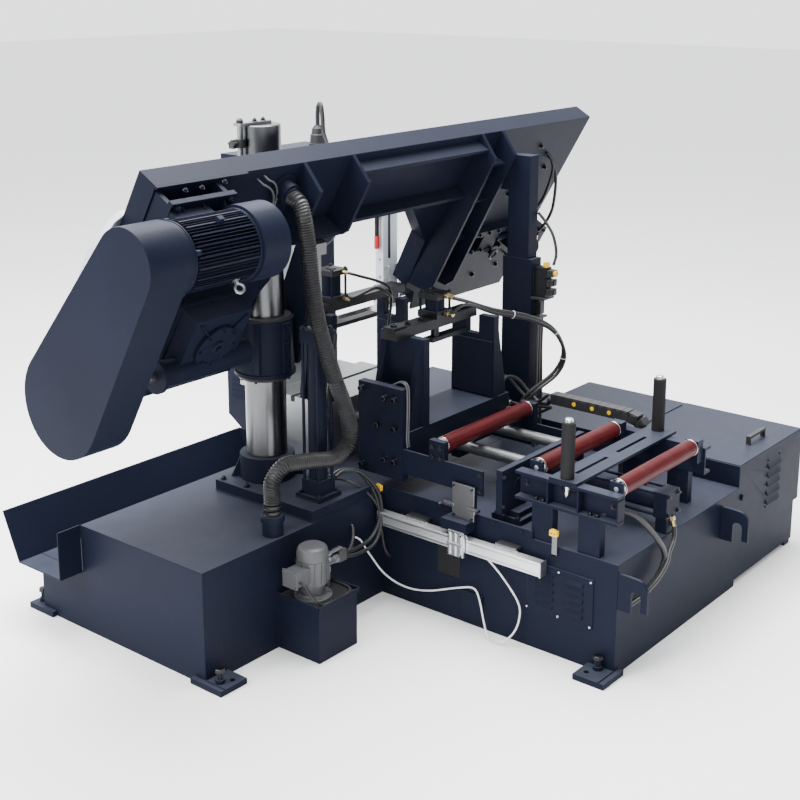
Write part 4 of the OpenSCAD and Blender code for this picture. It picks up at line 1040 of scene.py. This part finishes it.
class SAW_OT_bow_fittings(bpy.types.Operator):
    """Weld beads, tension unit, wheel hubs, door handles and hinges"""
    bl_idname, bl_label = "saw.bow_fittings", "Bow fittings"

    def execute(self, context):
        g = Geo(BOW)
        for x, s in ((638, 345), (929, 345), (1829, 880), (1990, 880)):
            for dx in (0, 20):
                g.weld([(x + dx, -1, -6), (x + dx, -1, -s)], 4)
        g.weld([(960, -1, -38), (1828, -1, -38)], 3).weld([(960, -1, -322), (1828, -1, -322)], 3)
        g.box(-119, 330, -10, 0, -10, 0)
        g.prism([(-119, -1, -262), (160, -1, -262), (160, -1, -280), (-119, -1, -280)], ZERO, Y * -7)
        g.box(640, 700, -8, 0, -1100, -1000)
        g.done("bow_welds", "bow", "navy")
        g = Geo(BOW)
        for s in (640, 740):
            for k in range(4):
                g.hexbolt((2210 + 80 * k, -44, -s + (3 if s > 700 else 12)), -Y, 8)
        g.bolts([(x, -100, -s) for x in (2530, 2720) for s in (645, 735)], -Y, 9)
        g.bolts([(x, -1, -s) for x, s in ((2427, 138), (2354, 422), (2572, 286), (2480, 560), (2160, 400),
                                          (2150, 760), (2420, 960), (2610, 930))], -Y, 10)
        g.bolts([(x, -1, -s) for x, s in ((250, 320), (420, 330), (560, 420), (600, 700), (620, 900))],
                -Y, 9)
        for s in (648, 732):
            g.rod((2556, -50, -s), (2694, -50, -s), 6)
        g.rod((2398, -12, -771), (2398, -60, -771), 14).torus((2398, -64, -771), Y, 26, 6)
        g.done("bow_bolts", "bow", "dark")
        g = Geo(BOW)
        g.tube([(2590, -60, -566), (2592, -62, -530), (2600, -66, -440), (2585, -62, -340),
                (2560, -50, -250), (2530, -20, -200), (2515, -3, -190)], 8)
        g.tube([(2640, -96, -650), (2645, -120, -600), (2650, -122, -500), (2632, -100, -400),
                (2600, -70, -300), (2570, -30, -230), (2560, -3, -220)], 8)
        g.tube([(2690, -96, -690), (2710, -124, -740), (2700, -124, -800), (2660, -90, -850),
                (2640, -40, -860), (2630, -3, -850)], 7)
        g.done("tension_hoses", "bow", "cable")
        g = Geo(BOW)
        for p in ((2590, -60, -572), (2640, -96, -656), (2690, -96, -696)):
            g.lathe(p, Z, [(-6, 13), (8, 13), (8, 10), (20, 9)], 6)
        g.lathe((2620, -96, -690), -Y, [(0, 14), (8, 14), (8, 30), (10, 32), (24, 32), (26, 29)], 32)
        g.done("tension_unions", "bow", "gold")
        for body, x in (("drive_wheel", 290), ("idler_wheel", 2330)):
            g = Geo(BOW)
            g.lathe((x, 84, -690), Y, [(-3, 44), (0, 46), (5, 44), (6, 30), (10, 26)], 40)
            g.bolts(around((x, 84, -690), 52, 6, axis="y"), Y, 6)
            g.done("hub_" + body, body, "zinc")
        for body, pts, handle in (("left_door", ((660, 260), (660, 700), (660, 1100)), (300, 900)),
                                  ("right_door", ((1962, 260), (1962, 600), (1990, 930)), (2300, 900))):
            g = Geo(BOW)
            for x, s in pts:
                g.lathe((x, 125, -s), Y, [(0, 15), (4, 15), (6, 12)], 24)
                g.box(x - 3, x + 3, 130, 141, -s - 13, -s + 13)
            x, s = handle
            g.tube([(x + dx, y, -s) for dx, y in ((-60, 125), (-60, 150), (0, 158), (60, 150),
                                                  (60, 125))], 7)
            g.done("latches_" + body, body, "black", 0.001)
        return DONE


class SAW_OT_cabinet_fittings(bpy.types.Operator):
    """Gland and umbilical, door controls, handles and vents of both cabinets"""
    bl_idname, bl_label = "saw.cabinet_fittings", "Cabinet fittings"

    def execute(self, context):
        g = Geo()
        g.lathe((1850, 2272, 1848), Z, [(0, 46), (12, 46), (14, 42), (56, 38), (60, 33), (88, 29), (92, 24),
                                        (104, 16)], 32)
        for c in around((1850, 2272, 1862), 36, 8):
            g.rod(c, c + Z * 26, 3, 6)
        g.done("cable_gland", "base", "black", 0.0006)
        path = through(UMBILICAL)
        cable = Geo().tube(UMBILICAL, 11, 12).done("umbilical", None, "cable")
        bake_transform(cable)
        run(path)
        g = Geo()
        for z in (760, 1200, 1640):
            g.box(1890, 1914, 2432, 2437, z - 20, z + 20)
        g.box(1480, 1760, 2432, 2437, 1380, 1580).box(1372, 1388, 2432, 2447, 900, 1040)
        for k in range(6):
            g.box(1500, 1740, 2432, 2435, 640 + 24 * k, 648 + 24 * k)
        g.done("door_hardware", "cabinet_door", "black", 0.0012)
        for name, mat, pts in (("buttons_dark", "black", ((1480, 1290), (1540, 1290), (1600, 1290))),
                               ("buttons_yellow", "yellow", ((1660, 1290),)),
                               ("buttons_white", "white", ((1720, 1290), (1480, 1230))),
                               ("buttons_blue", "blue", ((1540, 1230), (1600, 1230)))):
            g = Geo()
            for x, z in pts:
                g.lathe((x, 2432, z), Y, [(0, 15), (3, 15), (4, 11), (10, 10), (11, 8)], 24)
            g.done(name, "cabinet_door", mat)
        g = Geo()
        g.box(1316, 1320, 2260, 2400, 600, 760)
        for k in range(5):
            g.run_y(2268, 2392, [(1316, 616 + 28 * k), (1307, 616 + 28 * k), (1316, 634 + 28 * k)])
        g.box(1921, 1924, 2250, 2300, 1640, 1760)
        g.done("cabinet_vents", "base", "cabinet", 0.0008)
        g = Geo()
        g.rod((2160, 2.5, 420), (2160, -8, 420), 14)
        g.done("coolant_panels", "base", "navy", 0.001)
        return DONE


class SAW_OT_pump_fittings(bpy.types.Operator):
    """Cap, terminal box, cable and valve pipes of the coolant pump, valves on the guide post"""
    bl_idname, bl_label = "saw.pump_fittings", "Pump fittings"

    def execute(self, context):
        g = Geo()
        g.lathe((499, 1085, 398), Z, [(0, 60), (4, 66), (30, 66), (52, 60), (60, 48), (61, 10)], 40)
        c = Vector((499, 1085, 305))
        for d in around(ZERO, 1, 14):
            w = Vector((-d.y, d.x, 0)) * 2
            root, tip = c + d * 60, c + d * 69
            g.prism([root - w, root + w, tip + w, tip - w], ZERO, Z * 90)
        g.box(368, 408, 1050, 1120, 322, 386).box(362, 369, 1045, 1125, 316, 392)
        g.lathe((499, 1085, 237), Z, [(0, 80), (8, 80), (12, 60), (18, 56)], 40)
        g.done("pump_body", "base", "pump", 0.0015)
        g = Geo().bolts(around((499, 1085, 245), 70, 4, EIGHTH), Z, 6)
        g.caps([(362, y, z) for y in (1052, 1118) for z in (324, 384)], -X, 4)
        g.rod((600, 1100, 348), (600, 1100, 366), 20, 6).rod((526, 1100, 340), (545, 1100, 340), 20, 6)
        g.rod((636, 1100, 340), (664, 1100, 340), 20, 6).rod((664, 1100, 340), (722, 1110, 344), 12)
        g.rod((600, 1100, 300), (600, 1100, 322), 18, 6).rod((560, 1100, 356), (560, 1100, 404), 9)
        g.lathe((560, 1100, 404), Z, [(0, 16), (14, 16), (16, 12)], 6)
        g.box(664, 712, 1088, 1132, 318, 368)
        g.done("valve_fittings", "base", "iron", 0.001)
        g = Geo()
        g.tube([(388, 1050, 340), (388, 1024, 336), (400, 1000, 290), (430, 984, 250), (470, 976, 242),
                (560, 972, 242), (630, 1000, 243), (644, 1100, 242), (648, 1196, 250)], 6)
        g.tube([(712, 1110, 330), (760, 1120, 330), (820, 1150, 350), (862, 1185, 380),
                (870, 1199, 390)], 8)
        g.done("pump_cable", "base", "cable")
        g = Geo()
        g.box(2030, 2120, 1000, 1076, 1196, 1206).box(2040, 2110, 1030, 1076, 1100, 1110)
        for k in range(3):
            g.box(2052, 2098, 972, 1004, 1219 + 45 * k, 1251 + 45 * k)
        g.done("valve_coils", "base", "black", 0.0015)
        g = Geo()
        g.lathe((2075, 972, 1325), -Y, [(0, 15), (10, 15), (12, 12)], 20)
        g.box(2062, 2088, 1008, 1030, 1350, 1374)
        g.done("valve_caps", "base", "yellow", 0.001)
        g = Geo()
        for k, x in enumerate((2056, 2075, 2094)):
            g.tube([(x, 1050, 1100), (x, 1048, 1060), (x - 6, 1046, 940), (x - 10 + k * 4, 1044, 760),
                    (x - 30 + k * 10, 1040, 600), (x - 60 + k * 16, 1020, 520),
                    (x - 70 + k * 14, 1010, 478)], 7)
        g.tube([(2090, 990, 1362), (2096, 980, 1420), (2110, 1010, 1500), (2116, 1060, 1560),
                (2109, 1096, 1600)], 7)
        g.done("valve_pipes", "base", "cable")
        return DONE


class SAW_PG_look(bpy.types.PropertyGroup):
    """Values that a user would change"""
    edge: bpy.props.FloatProperty(
        name="Edge radius", description="Rounding of sheet and plate edges",
        default=0.0022, min=0.0005, max=0.004, unit="LENGTH")
    world: bpy.props.FloatProperty(
        name="Ambient light", description="Strength of the studio's ambient light",
        default=2.3, min=0.1, max=3)
    key: bpy.props.FloatProperty(
        name="Key light", description="Power of the studio's key light",
        default=600, min=10, max=3000, unit="POWER")
    paint: bpy.props.FloatVectorProperty(
        name="Machine paint", description="Colour of the frame's enamel",
        subtype="COLOR", default=NAVY, min=0, max=1)


class SAW_PT_panel(bpy.types.Panel):
    """Lists the saw's values and operators"""
    bl_label, bl_idname = "Column band saw", "SAW_PT_panel"
    bl_space_type, bl_region_type, bl_category = "VIEW_3D", "UI", "Saw"

    def draw(self, context):
        for name in ("edge", "world", "key", "paint"):
            self.layout.prop(context.scene.saw_look, name)
        for op in OPERATORS:
            self.layout.operator(op.bl_idname)


OPERATORS = [SAW_OT_stage, SAW_OT_sensors, SAW_OT_cabinet_fittings, SAW_OT_skins, SAW_OT_base_fittings,
             SAW_OT_drive_fittings, SAW_OT_column_fittings, SAW_OT_suction_hose, SAW_OT_vise_fittings,
             SAW_OT_pressure_hoses, SAW_OT_feed_line, SAW_OT_scale_fittings, SAW_OT_guides,
             SAW_OT_bow_fittings, SAW_OT_pump_fittings]


def register():
    for c in [SAW_PG_look, *OPERATORS, SAW_PT_panel]:
        bpy.utils.register_class(c)
    bpy.types.Scene.saw_look = bpy.props.PointerProperty(type=SAW_PG_look)


def unregister():
    del bpy.types.Scene.saw_look
    for c in [SAW_PT_panel, *reversed(OPERATORS), SAW_PG_look]:
        bpy.utils.unregister_class(c)


def main():
    register()
    make_materials(tuple(bpy.context.scene.saw_look.paint))
    for op in OPERATORS:
        getattr(bpy.ops.saw, op.bl_idname.split(".")[1])()
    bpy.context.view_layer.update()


if __name__ == "__main__":
    main()
